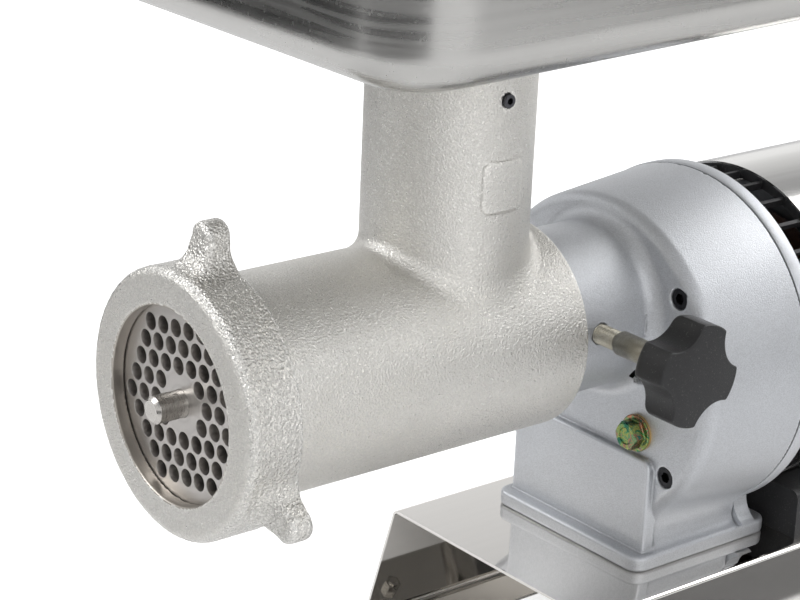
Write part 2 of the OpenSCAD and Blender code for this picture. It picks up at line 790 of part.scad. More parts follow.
module motor_shaft()
    color("silver") at_axis() at_motor()
        turned_y([[0, wheel_1_y - 1.5], [5, wheel_1_y - 1.5], [5, wheel_1_y + wheel_1_w],
            [small_bore_r, wheel_1_y + wheel_1_w], [small_bore_r, motor_bearing_y + small_bearing_w],
            [12, motor_bearing_y + small_bearing_w + 1], [12, rear_shield_y - 1],
            [small_bore_r, rear_shield_y - 1], [small_bore_r, fan_y + fan_w], [0, fan_y + fan_w]]);

module motor_pinion()
    color("goldenrod") at_axis() at_motor()
        gear(pinion_teeth, tooth_step_1, wheel_1_y - 0.5, wheel_1_y + wheel_1_w, aim_1 + half_pinion, 5);

module motor_front_bearing()
    color("silver") at_axis() at_motor()
        bearing(small_bore_r, small_bearing_r, motor_bearing_y, small_bearing_w);

module motor_rear_bearing()
    color("silver") at_axis() at_motor()
        bearing(small_bore_r, small_bearing_r, rear_shield_y, small_bearing_w);

module rotor()
    color("slategray") at_axis() at_motor() {
        tube_y(rotor_r, 12, core_front, core_back);
        for (y = [core_front - 6, core_back])
            tube_y(rotor_r - 3, rotor_r - 12, y, y + 6);
    }

module stator_core()
    color("slategray") at_axis() at_motor() difference() {
        rod_y(core_r, core_front, core_back);
        rod_y(air_gap_r, core_front - cut, core_back + cut);
        for (p = tie_xz)
            translate([p.x, 0, p.y]) rod_y(2.8, core_front - cut, core_back + cut);
    }

module stator_windings()
    color("chocolate") at_axis() at_motor()
        for (y = [core_front - winding_l, core_back + 0.2])
            turned_y(concat(
                arc(45, y + 4.5, 4, 180, 270, 4), arc(54, y + 4.5, 4, 270, 360, 4),
                arc(54, y + winding_l - 4.7, 4, 0, 90, 4), arc(45, y + winding_l - 4.7, 4, 90, 180, 4)));

module cooling_fan()
    color("black") at_axis() at_motor() {
        tube_y(16, small_bore_r, fan_y, fan_y + fan_w);
        tube_y(62, 15, fan_y, fan_y + 2);
        for (a = [0 : 40 : 320])
            rotate([0, a, 0]) block([15, fan_y + 1, -1], [60, fan_y + fan_w - 2, 1]);
    }

module vent_ring()
    color("black") at_axis() at_motor() {
        tube_y(shroud_r - 2, shroud_r - 7, flange_back, flange_back + 3);
        tube_y(shroud_r - shroud_t, shroud_r - 6, vent_back, vent_back + 6);
        for (i = [0 : vent_ribs - 1])
            rotate([0, i * 360 / vent_ribs, 0])
                block([shroud_r - 6.5, flange_back + 2, -1], [shroud_r - 2.5, vent_back + 1, 1]);
    }

module motor_shroud()
    color("whitesmoke") at_axis() at_motor()
        tube_y(shroud_r, shroud_r - shroud_t, shroud_front, shroud_back);

module rear_shield()
    color("lightsteelblue") at_axis() at_motor() difference() {
        union() {
            rod_y(core_r + 4, rear_shield_y + 4, rear_shield_y + rear_shield_t);
            rod_y(small_bearing_r + 5, rear_shield_y - 0.5, rear_shield_y + rear_shield_t);
        }
        rod_y(small_bearing_r, rear_shield_y - 2, rear_shield_y + small_bearing_w);
        rod_y(small_bore_r + 1, rear_shield_y, rear_shield_y + rear_shield_t + cut);
        for (a = [0 : 45 : 315])
            translate([42 * cos(a), 0, 42 * sin(a)])
                rod_y(11, rear_shield_y, rear_shield_y + rear_shield_t + cut);
        for (p = tie_xz)
            translate([p.x, 0, p.y]) rod_y(2.8, rear_shield_y, rear_shield_y + rear_shield_t + cut);
    }

module rear_cover()
    color("black") at_axis() at_motor() difference() {
        union() {
            turned_y(concat([[0, shroud_back], [shroud_r, shroud_back]],
                arc(shroud_r - 5, shroud_back + cap_t - 5, 5, 0, 90), [[0, shroud_back + cap_t]]));
            tube_y(shroud_r - shroud_t, shroud_r - 5, shroud_back - 10, shroud_back);
        }
        for (i = [1 : 5], a = [0 : 60 : 300])
            rotate([0, a, 0]) along_y(shroud_back - cut, shroud_back + cap_t + cut)
                vent_slot(14 + i * 11, 21);
    }

// A curved slot at one radius, spanning a part of a turn each side of X.
module vent_slot(r, span) {
    intersection() {
        difference() {
            circle(r = r + 2.5);
            circle(r = r - 2.5);
        }
        polygon([[0, 0], [2 * r, -2 * r * tan(span)], [2 * r, 2 * r * tan(span)]]);
    }
}

module tie_bolts()
    color("silver") at_axis() at_motor()
        for (p = tie_xz)
            translate([p.x, 0, p.y]) {
                rod_y(2.45, flange_front + 4, rear_shield_y + rear_shield_t);
                rod_y(4.6, rear_shield_y + rear_shield_t, rear_shield_y + rear_shield_t + 4, $fn = 6);
            }

// ---------- base ----------

module motor_cradle()
    color("black") at_axis() difference() {
        block([-cradle_hw, cradle_y - 40, -axis_drop], [cradle_hw, cradle_y + 40, cradle_top]);
        at_motor() rod_y(shroud_r + 0.1, cradle_y - 50, shroud_back);
        for (x = [-cradle_bolt_x, cradle_bolt_x])
            translate([x, cradle_y, 0]) rod_z(3, -axis_drop - cut, -axis_drop + 5);
    }

module base_cover()
    color("whitesmoke") at_axis() difference() {
        along_y(base_front, base_back)
            bent_sheet([
                [-base_top_hw - base_lean + 30, base_bottom + sheet_t / 2],
                [-base_top_hw - base_lean, base_bottom + sheet_t / 2],
                [-base_top_hw, -axis_drop - sheet_t / 2],
                [base_top_hw, -axis_drop - sheet_t / 2],
                [base_top_hw + base_lean, base_bottom + sheet_t / 2],
                [base_top_hw + base_lean - 30, base_bottom + sheet_t / 2]], sheet_t);
        for (p = foot_bolt_xy)
            translate([p.x, p.y, 0]) rod_z(4.3, -axis_drop - 3, -axis_drop + cut);
        for (p = foot_xy)
            translate([p.x, p.y, 0]) rod_z(2.6, base_bottom - cut, base_bottom + 4);
        for (x = [-cradle_bolt_x, cradle_bolt_x])
            translate([x, cradle_y, 0]) rod_z(3.2, -axis_drop - 3, -axis_drop + cut);
    }

module rubber_feet()
    color("black") at_axis()
        for (p = foot_xy)
            translate([p.x, p.y, table_z]) difference() {
                rotate_extrude() polygon([[0, 0], [foot_r - 3, 0], [foot_r - 1.5, 1.5], [foot_r, foot_h],
                    [0, foot_h]]);
                translate([0, 0, -cut]) cylinder(r = 5.2, h = foot_h - 5 + cut);
                translate([0, 0, -cut]) cylinder(r = 2.6, h = foot_h + 2 * cut);
            }

module foot_screws()
    color("silver") at_axis()
        for (p = foot_xy)
            translate([p.x, p.y, table_z + foot_h - 5]) {
                translate([0, 0, -3]) cylinder(r = 4.6, h = 3);
                cylinder(r = 2.5, h = 5 + sheet_t + 5);
                translate([0, 0, 5 + sheet_t]) difference() {
                    cylinder(r = 4.6, h = 4, $fn = 6);
                    translate([0, 0, -cut]) cylinder(r = 2.4, h = 6);
                }
            }

module gearbox_bolts()
    color("silver") at_axis() {
        for (p = foot_bolt_xy)
            translate([p.x, p.y, -axis_drop - sheet_t]) {
                translate([0, 0, -1.6]) cylinder(r = 8, h = 1.6);
                translate([0, 0, -6.6]) cylinder(r = 7.4, h = 5, $fn = 6);
                cylinder(r = 3.95, h = sheet_t + foot_t - 2);
            }
        for (x = [-cradle_bolt_x, cradle_bolt_x])
            translate([x, cradle_y, -axis_drop - sheet_t]) {
                translate([0, 0, -4]) cylinder(r = 5.5, h = 4, $fn = 6);
                cylinder(r = 2.95, h = sheet_t + 4);
            }
    }

module start_capacitor()
    color("dimgray") at_axis()
        translate([cap_x, cap_y, cap_z])
            turned_y([[0, 0], [cap_r - 2, 0], [cap_r, 2], [cap_r, cap_l - 2], [cap_r - 2, cap_l],
                [8, cap_l], [8, cap_l + 6], [0, cap_l + 6]]);

module capacitor_strap()
    color("silver") at_axis() translate([cap_x, cap_y + 38, cap_z]) difference() {
        union() {
            rod_y(cap_r + strap_t, 0, strap_w);
            block([-cap_r - 14, 0, cap_gap + cap_r - strap_t], [cap_r + 14, strap_w, cap_gap + cap_r]);
        }
        rod_y(cap_r, -cut, strap_w + cut);
        block([-2 * cap_r, -cut, cap_gap + cap_r], [2 * cap_r, strap_w + cut, 2 * cap_r]);
    }

// ---------- clamp ----------

module at_clamp()
    translate([0, clamp_y, clamp_z]) children();

module clamp_pad()
    color("peru") at_axis() at_clamp()
        rod_x(stud_r - 1, key_flat + 0.1, key_flat + 3);

module clamp_stud()
    color("darkkhaki") at_axis() at_clamp() {
        rod_x(stud_r, key_flat + 3.05, shank_x);
        rod_x(stud_r + 1, shank_x, knob_x + 3);
    }

module clamp_knob()
    color("black") at_axis() at_clamp() difference() {
        rotate([0, 90, 0]) translate([0, 0, knob_x]) rotate_extrude()
            polygon(concat([[0, 0], [knob_r - 4, 0]], arc(knob_r - 4, 4, 4, -90, 0, 4),
                arc(knob_r - 1.5, knob_t - 1.5, 1.5, 0, 90, 3), [[0, knob_t - 0.6]]));
        for (i = [0 : knob_lobes - 1])
            rotate([knob_turned + (i + 0.5) * 360 / knob_lobes, 0, 0]) translate([0, knob_r * 1.36, 0])
                rod_x(knob_r * 0.63, knob_x - cut, knob_x + knob_t + cut);
        rod_x(stud_r + 3, knob_x - cut, knob_x + 14);
    }

module knob_insert()
    color("goldenrod") at_axis() at_clamp() difference() {
        rod_x(stud_r + 3, knob_x, knob_x + 14);
        rod_x(stud_r + 1, knob_x - cut, knob_x + 3);
    }

// ---------- switches ----------

// Cross-section of the switch box under the motor's side, moved in by inset.
module box_outline(inset)
    difference() {
        polygon(concat(
            [[box_left + inset, -axis_drop + inset], [box_right - inset, -axis_drop + inset]],
            arc(box_right - 5, -axis_drop + box_h - 5, 5 - inset, 0, 90, 5),
            [[box_left + inset, -axis_drop + box_h - inset]]));
        translate([0, -motor_drop]) circle(r = shroud_r + 0.6 + inset);
    }

module switch_box()
    color("black") at_axis() difference() {
        along_y(box_front, box_front + box_l) box_outline(0);
        along_y(box_front + box_wall, box_front + box_l - box_wall) box_outline(box_wall);
        block([box_right - 4, rocker_y - 10.2, -axis_drop + 5.8],
            [box_right + cut, rocker_y + 10.2, -axis_drop + 18.2]);
        translate([0, reset_y, -axis_drop + 12]) rod_x(5.6, box_right - 4, box_right + cut);
        translate([gland_x(), 0, gland_z()])
            rod_y(8, box_front + box_l - 4, box_front + box_l + cut);
        for (y = box_screw_y)
            translate([gland_x(), y, 0]) rod_z(2, -axis_drop - cut, -axis_drop + 5);
    }

// Place of the cable gland on the box's rear wall.
function gland_x() = box_right - 13;
function gland_z() = -axis_drop + 12.5;

module box_screws()
    color("silver") at_axis()
        for (y = box_screw_y)
            translate([gland_x(), y, -axis_drop]) {
                cylinder(r = 1.95, h = box_wall + 1.5);
                translate([0, 0, box_wall]) cylinder(r = 3.6, h = 2.4, $fn = 6);
            }

module rocker_bezel()
    color("black") at_axis() difference() {
        union() {
            block([box_right, rocker_y - 12.5, -axis_drop + 3.5],
                [box_right + 1.5, rocker_y + 12.5, -axis_drop + 20.5]);
            block([box_right - 16, rocker_y - 10, -axis_drop + 6],
                [box_right + 0.5, rocker_y + 10, -axis_drop + 18]);
        }
        block([box_right - 14, rocker_y - 8.6, -axis_drop + 7.2],
            [box_right + 3, rocker_y + 8.6, -axis_drop + 16.8]);
    }

module rocker_switch()
    color("firebrick") at_axis() translate([box_right - 5, rocker_y, -axis_drop + 12]) rotate([0, 0, 8])
        translate([0, 0, -4.5]) linear_extrude(9) difference() {
            intersection() {
                circle(r = 8.2);
                polygon([[-9, -4], [0, -8], [9, -8.1], [9, 8.1], [0, 8], [-9, 4]]);
            }
            translate([16.5, 0]) circle(r = 10.5);
        }

module reset_breaker()
    color("dimgray") at_axis() translate([0, reset_y, -axis_drop + 12]) difference() {
        union() {
            rod_x(5.5, box_right - 16, box_right);
            rod_x(7.6, box_right, box_right + 2);
        }
        rod_x(3.6, box_right - 10, box_right + 3);
    }

module reset_button()
    color("firebrick") at_axis() translate([0, reset_y, -axis_drop + 12])
        turned_x([[0, box_right - 6], [3.5, box_right - 6], [3.5, box_right + 3.4], [2.9, box_right + 4],
            [0, box_right + 4]]);

// A shape turned about X; its points are [radius, x].
module turned_x(points)
    rotate([0, 90, 0]) rotate_extrude() polygon(points);

module cable_gland()
    color("black") at_axis() translate([gland_x(), 0, gland_z()]) {
        end = box_front + box_l;
        difference() {
            union() {
                rod_y(7.95, end - box_wall - 6, end);
                rod_y(10, end, end + 5, $fn = 6);
                turned_y([[0, end + 5], [8.5, end + 5], [8.5, end + 14], [6.6, end + 20], [0, end + 20]]);
            }
            rod_y(cord_d / 2 + 0.2, end - 20, end + 30);
        }
    }

// ---------- the machine ----------

head_casting();
worm_bush();
thrust_washer();
plate_key_pin();
throat_set_screw();
worm();
worm_shaft();
knife();
cutting_plate();
ring_nut();
tray();
tray_collar();
gear_housing();
housing_gasket();
motor_flange();
housing_screws();
oil_plug();
oil_plug_washer();
output_shaft();
output_gear();
output_seal();
output_front_bearing();
output_rear_bearing();
countershaft();
counter_gear();
countershaft_bush();
countershaft_bearing();
motor_shaft();
motor_pinion();
motor_front_bearing();
motor_rear_bearing();
rotor();
stator_core();
stator_windings();
cooling_fan();
vent_ring();
motor_shroud();
rear_shield();
rear_cover();
tie_bolts();
start_capacitor();
capacitor_strap();
motor_cradle();
base_cover();
rubber_feet();
foot_screws();
gearbox_bolts();
clamp_pad();
clamp_stud();
clamp_knob();
knob_insert();
switch_box();
box_screws();
rocker_bezel();
rocker_switch();
reset_button();
reset_breaker();
cable_gland();
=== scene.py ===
import json
import math

import bmesh
import bpy
import numpy as np
from bpy.props import (
    FloatProperty,
    FloatVectorProperty,
    IntProperty,
    PointerProperty,
)
from bpy.types import Operator, Panel, PropertyGroup
from mathutils import Matrix, Vector


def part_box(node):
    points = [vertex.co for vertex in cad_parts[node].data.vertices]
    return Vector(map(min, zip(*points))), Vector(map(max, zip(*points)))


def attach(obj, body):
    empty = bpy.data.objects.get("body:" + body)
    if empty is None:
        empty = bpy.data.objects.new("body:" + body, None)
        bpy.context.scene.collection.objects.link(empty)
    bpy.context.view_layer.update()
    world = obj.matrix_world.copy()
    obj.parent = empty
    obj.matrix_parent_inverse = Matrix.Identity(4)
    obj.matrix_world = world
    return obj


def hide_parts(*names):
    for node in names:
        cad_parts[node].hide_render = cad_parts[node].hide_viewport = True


bl_info = {
    "name": "Meat Grinder Looks",
    "version": (1, 0, 0),
    "blender": (4, 5, 0),
    "location": "3D View > Sidebar > Grinder",
    "description": "Casts, sheet metal, knob and finishes of an electric meat grinder",
    "category": "Object",
}

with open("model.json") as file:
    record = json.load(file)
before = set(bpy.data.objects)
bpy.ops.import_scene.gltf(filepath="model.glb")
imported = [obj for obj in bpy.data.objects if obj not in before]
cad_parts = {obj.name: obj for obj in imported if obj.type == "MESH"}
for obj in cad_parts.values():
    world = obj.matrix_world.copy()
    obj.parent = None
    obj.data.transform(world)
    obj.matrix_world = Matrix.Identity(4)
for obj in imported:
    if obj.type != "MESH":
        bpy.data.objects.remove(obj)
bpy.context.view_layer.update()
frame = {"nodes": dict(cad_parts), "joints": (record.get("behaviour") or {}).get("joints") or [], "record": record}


def joint_place(name):
    """Where a joint's axis passes, in the row frame."""
    return next(Vector(j["pos_m"]) for j in frame["joints"] if j["name"] == name)


def mount_place(name):
    """Where a mount sits, in the row frame."""
    return next(Vector(m["pos_m"]) for m in frame["record"]["mounts"] if m["name"] == name)


AXIS_Z = joint_place("worm_spin").z
MOTOR_Z = joint_place("motor_spin").z
THROAT_Y = mount_place("feed_throat").y
CENTRE = Vector((0.0, THROAT_Y, AXIS_Z))
FAR = 0.3  # past the end of anything that a hole runs out of
NEAR = 0.0004  # a face's own points lie within this of it
PASS_GAP = 0.0003  # clearance of a fit
SLOTS = {part["node"]: part["material_slot"] for part in frame["record"]["subparts"]}


# ---------- sizes and colours ----------


def length(name, description, default):
    """A size in metres."""
    return FloatProperty(
        name=name, description=description, default=default, min=0.0, precision=5, unit="LENGTH"
    )


def colour(name, description, default):
    """A linear colour."""
    return FloatVectorProperty(
        name=name, description=description, default=default, size=3, min=0.0, max=1.0,
        subtype="COLOR",
    )


def power(name, description, default):
    """A light's power in watts."""
    return FloatProperty(name=name, description=description, default=default, min=0.0)


class HeadSettings(PropertyGroup):
    barrel_radius: length("Barrel", "Outside radius of the barrel", 0.0513)
    bore_radius: length("Bore", "Inside radius of the barrel", 0.043)
    pocket_radius: length("Plate pocket", "Radius of the pocket that holds the plate", 0.0495)
    throat_radius: length("Throat", "Outside radius of the feed throat", 0.0396)
    throat_bore: length("Throat bore", "Inside radius of the feed throat", 0.033)
    spigot_radius: length("Spigot", "Radius of the spigot behind the barrel", 0.0349)
    barrel_rear: length("Barrel rear", "Throat axis to the barrel's rear face", 0.0493)
    collar_length: length("Collar length", "Length of the collar under the ring nut", 0.022)
    junction_fillet: length("Junction fillet", "Fillet between throat and barrel", 0.0065)
    cell: length("Cell", "Mesh cell of the casting", 0.00125)


class RingSettings(PropertyGroup):
    mouth_radius: length("Mouth", "Radius of the mouth", 0.045)
    lip: length("Lip", "Thickness of the front lip", 0.0065)
    front_edge: length("Front edge", "Rounding of the front edge", 0.0048)
    lug_height: length("Lug height", "How far a lug stands out of the ring", 0.020)
    lug_root: length("Lug root", "Half width of a lug at the ring", 0.0090)
    lug_tip: length("Lug tip", "Radius of a lug's tip", 0.0074)
    lug_depth: length("Lug depth", "Thickness of a lug along the axis", 0.017)
    lug_fillet: length("Lug fillet", "Fillet between a lug and the ring", 0.007)
    lugs: IntProperty(name="Lugs", description="Number of grip lugs", default=3, min=2, max=4)
    lumps: length("Lumps", "Size of the casting's gentle lumps", 0.012)
    lump_depth: length("Lump depth", "Depth of the casting's lumps", 0.00022)
    cell: length("Cell", "Mesh cell of the ring nut", 0.0009)


class GearboxSettings(PropertyGroup):
    front_radius: length("Drum front", "Radius of the drum at its front edge", 0.083)
    rear_radius: length("Drum rear", "Radius of the drum at its rear edge", 0.0887)
    drum_front: length("Drum face", "Throat axis to the drum's front face", 0.102)
    drum_back: length("Drum rear face", "Throat axis to the parting line", 0.163)
    drum_edge: length("Drum edge", "Rounding of the drum's front edge", 0.006)
    neck_radius: length("Neck", "Radius of the neck", 0.0416)
    neck_front: length("Neck face", "Throat axis to the neck's front face", 0.0496)
    neck_fillet: length("Neck fillet", "Fillet between the neck and the drum", 0.008)
    socket_radius: length("Socket", "Radius of the hole for the head's spigot", 0.035)
    pedestal_half: length("Pedestal", "Half width of the pedestal", 0.0474)
    pedestal_fillet: length("Pedestal fillet", "Fillet between drum and pedestal", 0.010)
    panel_half: length("Panel", "Half width of the raised panel", 0.049)
    panel_top: length("Panel top", "Output axis down to the panel's top", 0.070)
    panel_proud: length("Panel depth", "How far the panel stands out", 0.004)
    foot_half: length("Foot", "Half width of the foot", 0.0534)
    foot_reach: length("Foot reach", "How far the foot reaches ahead of the drum", 0.0117)
    foot_height: length("Foot height", "Thickness of the foot", 0.008)
    foot_fillet: length("Foot fillet", "Fillet between pedestal and foot", 0.006)
    wall: length("Wall", "Thickness of the drum's wall and face", 0.007)
    bolt_depth: length("Bolt depth", "Depth of the foot's bolt holes", 0.004)
    cell: length("Cell", "Mesh cell of the housing", 0.00115)


class TraySettings(PropertyGroup):
    corner: length("Corner", "Corner radius seen from above", 0.038)
    edge: length("Edge", "Radius between floor and walls", 0.019)
    sheet: length("Sheet", "Sheet thickness", 0.0015)
    flare: length("Flare", "How far the walls lean out", 0.003)
    rim: length("Rim", "Width of the folded rim", 0.004)
    slope: FloatProperty(
        name="Slope", description="Rise of the floor towards the rear", default=math.radians(1.4),
        subtype="ANGLE",
    )


class KnobSettings(PropertyGroup):
    lobes: IntProperty(name="Lobes", description="Number of lobes", default=4, min=3, max=8)
    turned: FloatProperty(
        name="Turned", description="Angle of the first lobe", default=math.radians(70),
        subtype="ANGLE",
    )
    radius: length("Radius", "Radius of the knob over its lobes", 0.025)
    scallop: length("Scallop", "Radius of the scallops between the lobes", 0.01575)
    scallop_reach: length("Scallop reach", "Knob axis to a scallop's centre", 0.034)
    hub_radius: length("Hub bore", "Radius of the hole for the brass insert", 0.008)
    crown: length("Crown", "How far the face falls from its middle to its rim", 0.0009)
    back_edge: length("Back edge", "Rounding of the edge towards the machine", 0.004)
    hub_edge: length("Hub edge", "Rounding of the hole's rim", 0.0004)
    edge: length("Edge", "Rounding of the knob's edges", 0.0009)
    cell: length("Cell", "Mesh cell of the knob", 0.00055)


class SheetSettings(PropertyGroup):
    top_half: length("Top", "Half width of the base's top", 0.074)
    lean: length("Lean", "How far the sides lean out", 0.0218)
    lip: length("Lip", "Width of the folded lips", 0.030)
    thickness: length("Thickness", "Sheet thickness of the base", 0.0015)
    fold: length("Fold", "Inside radius of the folds", 0.0025)


class FinishSettings(PropertyGroup):
    tin: colour("Tin", "Tinned cast iron", (0.79, 0.775, 0.74))
    tin_machined: colour("Machined tin", "Cut faces of the casting", (0.46, 0.43, 0.39))
    plate: colour("Plate", "Ground plate steel", (0.50, 0.48, 0.46))
    steel: colour("Steel", "Turned steel", (0.56, 0.54, 0.51))
    stainless: colour("Stainless", "Stainless sheet", (0.52, 0.515, 0.50))
    mirror: colour("Mirror", "Polished stainless sheet", (0.82, 0.80, 0.77))
    silver: colour("Silver paint", "Silver paint on the gearbox", (0.56, 0.575, 0.60))
    knob: colour("Knob", "Black satin plastic", (0.011, 0.011, 0.012))
    plastic: colour("Black plastic", "Moulded black plastic", (0.012, 0.012, 0.013))
    rubber: colour("Rubber", "Black rubber", (0.020, 0.019, 0.018))
    brass: colour("Brass", "Brass and bronze", (0.72, 0.50, 0.22))
    pebble: length("Pebble", "Size of the casting's pebbles", 0.0009)
    brush: length("Brush", "Width of a brush line", 0.0004)


class StudioSettings(PropertyGroup):
    camera_place: FloatVectorProperty(
        name="Camera place", description="Where the camera stands",
        default=(0.82668, -0.83532, 0.62451), subtype="TRANSLATION", unit="LENGTH",
    )
    camera_turn: FloatVectorProperty(
        name="Camera turn", description="How the camera is turned",
        default=(math.radians(70.1245), math.radians(-2.3781), math.radians(51.1455)),
        subtype="EULER",
    )
    lens: FloatProperty(name="Lens", description="Focal length in millimetres", default=111.25)
    key: power("Key", "Large soft light above the cutting end", 30.0)
    fill: power("Fill", "Soft light on the knob side", 9.0)
    back: power("Back", "Soft light above the motor", 32.0)
    floor: colour("Floor", "Pale floor", (0.94, 0.94, 0.94))
    glow: power("Floor glow", "Light that the floor sheet shows straight to the camera", 0.60)
    card: colour("Card", "Dark cards that the metal reflects", (0.010, 0.010, 0.010))
    grey_card: colour("Grey card", "Card beside the knob", (0.16, 0.16, 0.16))


SETTINGS = {
    "grinder_head": HeadSettings,
    "grinder_ring": RingSettings,
    "grinder_gearbox": GearboxSettings,
    "grinder_tray": TraySettings,
    "grinder_knob": KnobSettings,
    "grinder_sheet": SheetSettings,
    "grinder_finish": FinishSettings,
    "grinder_studio": StudioSettings,
}


# ---------- solid shapes as distances ----------


def fillet(a, b, radius):
    """Joins two shapes with a fillet of that radius."""
    ra = np.maximum(radius - a, 0.0)
    rb = np.maximum(radius - b, 0.0)
    return np.maximum(radius, np.minimum(a, b)) - np.hypot(ra, rb)


def rounded(a, b, radius):
    """Keeps what two shapes share, with its edge rounded to that radius."""
    ra = np.maximum(radius + a, 0.0)
    rb = np.maximum(radius + b, 0.0)
    return np.minimum(-radius, np.maximum(a, b)) + np.hypot(ra, rb)


def either(*shapes):
    """Every shape together, with sharp joins."""
    return np.minimum.reduce(shapes)


def slab(t, low, high):
    """The space between two flat faces."""
    return np.maximum(low - t, t - high)


def rod(a, b, t, radius, low, high, edge):
    """A round bar along t, from low to high."""
    return rounded(np.hypot(a, b) - radius, slab(t, low, high), edge)


def bar(a, b, t, half_a, low_b, high_b, low, high, corner, edge):
    """A block along t whose outline in a and b has rounded corners."""
    outline = rounded(np.abs(a) - half_a, slab(b, low_b, high_b), corner)
    return rounded(outline, slab(t, low, high), edge)


def slope_of(distance, points, values):
    """Direction in which the distance grows, at every point."""
    step = 2e-5
    grown = np.empty_like(points)
    for axis in range(3):
        moved = points.copy()
        moved[:, axis] += step
        grown[:, axis] = distance(moved) - values
    norms = np.linalg.norm(grown, axis=1)
    return grown / np.maximum(norms, 1e-12)[:, None], norms / step


def settle(points, edges, distance, rounds=8, last_rounds=3):
    """Slides the mesh's points onto the surface where the distance is nothing."""
    gentlest, longest = 0.3, 0.004
    counts = np.bincount(edges.ravel(), minlength=len(points)).astype(float)
    for turn in range(rounds):
        if turn < rounds - last_rounds:
            middle = np.zeros_like(points)
            for axis in range(3):
                middle[:, axis] = np.bincount(
                    edges.ravel(), points[edges[:, ::-1].ravel(), axis], len(points)
                )
            points = points + 0.5 * (middle / counts[:, None] - points)
        values = distance(points)
        direction, steepness = slope_of(distance, points, values)
        move = values / np.maximum(steepness, gentlest)
        points = points - direction * np.clip(move, -longest, longest)[:, None]
    direction, _ = slope_of(distance, points, distance(points))
    return points, direction


def lumps(p, size):
    """Gentle lumps of a sand casting, from 0 to about 1."""
    total = np.zeros(len(p))
    for turn in range(5):
        spin = Matrix.Rotation(1.1 * turn + 0.4, 3, Vector((1.0, turn % 3, 2.0 - turn % 2)))
        x, y, z = (p @ np.array(spin) * (2 * math.pi / size * (1.0 + 0.37 * turn))).T
        total += np.sin(x + turn) * np.sin(y) * np.sin(z + 2 * turn) / (1.0 + 0.4 * turn)
    return total * 0.33 + 0.5


def cast_piece(name, node, body, distance, cell, finishes, pick=None):
    """A smooth piece over a CAD node: its mesh takes the shape that the distance describes."""
    seed = new_object(name + "_seed", frame["nodes"][node].data.copy())
    cells = seed.modifiers.new("cells", "REMESH")
    cells.mode = "VOXEL"
    cells.voxel_size = cell
    bpy.context.view_layer.update()
    evaluated = seed.evaluated_get(bpy.context.evaluated_depsgraph_get())
    mesh = bpy.data.meshes.new_from_object(evaluated)
    bpy.data.objects.remove(seed)
    points = np.empty(len(mesh.vertices) * 3)
    mesh.vertices.foreach_get("co", points)
    edges = np.empty(len(mesh.edges) * 2, dtype=np.int64)
    mesh.edges.foreach_get("vertices", edges)
    points = points.reshape(-1, 3) - np.array(CENTRE)
    points, normals = settle(points, edges.reshape(-1, 2), distance)
    mesh.vertices.foreach_set("co", (points + np.array(CENTRE)).ravel())
    mesh.materials.clear()
    for finish in finishes:
        mesh.materials.append(finish)
    mesh.update()
    mesh.shade_smooth()
    mesh.normals_split_custom_set_from_vertices(normals)
    if pick:
        middles = np.empty(len(mesh.polygons) * 3)
        mesh.polygons.foreach_get("center", middles)
        chosen = pick(middles.reshape(-1, 3) - np.array(CENTRE)).astype(np.int32)
        mesh.polygons.foreach_set("material_index", chosen)
    return stand_for(new_object(name, mesh), body, node)


# ---------- meshes ----------


def new_object(name, mesh):
    """A named object in the scene."""
    made = bpy.data.objects.new(name, mesh)
    bpy.context.scene.collection.objects.link(made)
    return made


def skin(name, rings, finish, closed_ends=False, wrapped=False):
    """A mesh through rings of points; each ring closes on itself."""
    shape = bmesh.new()
    rows = [[shape.verts.new(p) for p in ring] for ring in rings]
    count = len(rows[0])
    pairs = list(zip(rows, rows[1:] + rows[:1])) if wrapped else list(zip(rows, rows[1:]))
    for near, far in pairs:
        for i in range(count):
            j = (i + 1) % count
            shape.faces.new((near[i], near[j], far[j], far[i]))
    if closed_ends:
        shape.faces.new(rows[0][::-1])
        shape.faces.new(rows[-1])
    bmesh.ops.recalc_face_normals(shape, faces=shape.faces)
    mesh = bpy.data.meshes.new(name)
    shape.to_mesh(mesh)
    shape.free()
    mesh.materials.append(finish)
    mesh.shade_smooth()
    return new_object(name, mesh)


def keep_edges(piece, angle):
    """Marks the piece's edges that bend more than the angle as sharp."""
    piece.data.set_sharp_from_angle(angle=angle)


def stand_for(piece, body, node):
    """The piece rides on a body in place of a CAD node, which it hides."""
    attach(piece, body)
    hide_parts(node)
    return piece


def circle(radius, count):
    """Points of a circle about the origin."""
    angles = [2 * math.pi * i / count for i in range(count)]
    return [(radius * math.cos(angle), radius * math.sin(angle)) for angle in angles]


# ---------- shader parts ----------


def add(tree, kind, inputs=None, **settings):
    """A node with its settings and its inputs, which are sockets or values."""
    made = tree.nodes.new(kind)
    for key, value in settings.items():
        setattr(made, key, value)
    for key, value in (inputs or {}).items():
        if isinstance(value, bpy.types.NodeSocket):
            tree.links.new(value, made.inputs[key])
        else:
            made.inputs[key].default_value = value
    return made


def maths(tree, operation, a, b=0.0, c=0.0):
    """One Math node."""
    made = add(tree, "ShaderNodeMath", {0: a, 1: b, 2: c}, operation=operation)
    return made.outputs[0]


def between(tree, value, low, high, to_low=0.0, to_high=1.0):
    """Maps a value from one range to another, kept within it."""
    made = add(tree, "ShaderNodeMapRange", {
        "Value": value, "From Min": low, "From Max": high, "To Min": to_low, "To Max": to_high,
    })
    return made.outputs["Result"]


def mixed(tree, factor, a, b, blend="MIX"):
    """Mixes two colours."""
    made = add(tree, "ShaderNodeMix", {"Factor": factor}, data_type="RGBA", blend_type=blend)
    for socket, value in ((made.inputs[6], a), (made.inputs[7], b)):
        if isinstance(value, bpy.types.NodeSocket):
            tree.links.new(value, socket)
        else:
            socket.default_value = (*value[:3], 1.0)
    return made.outputs[2]


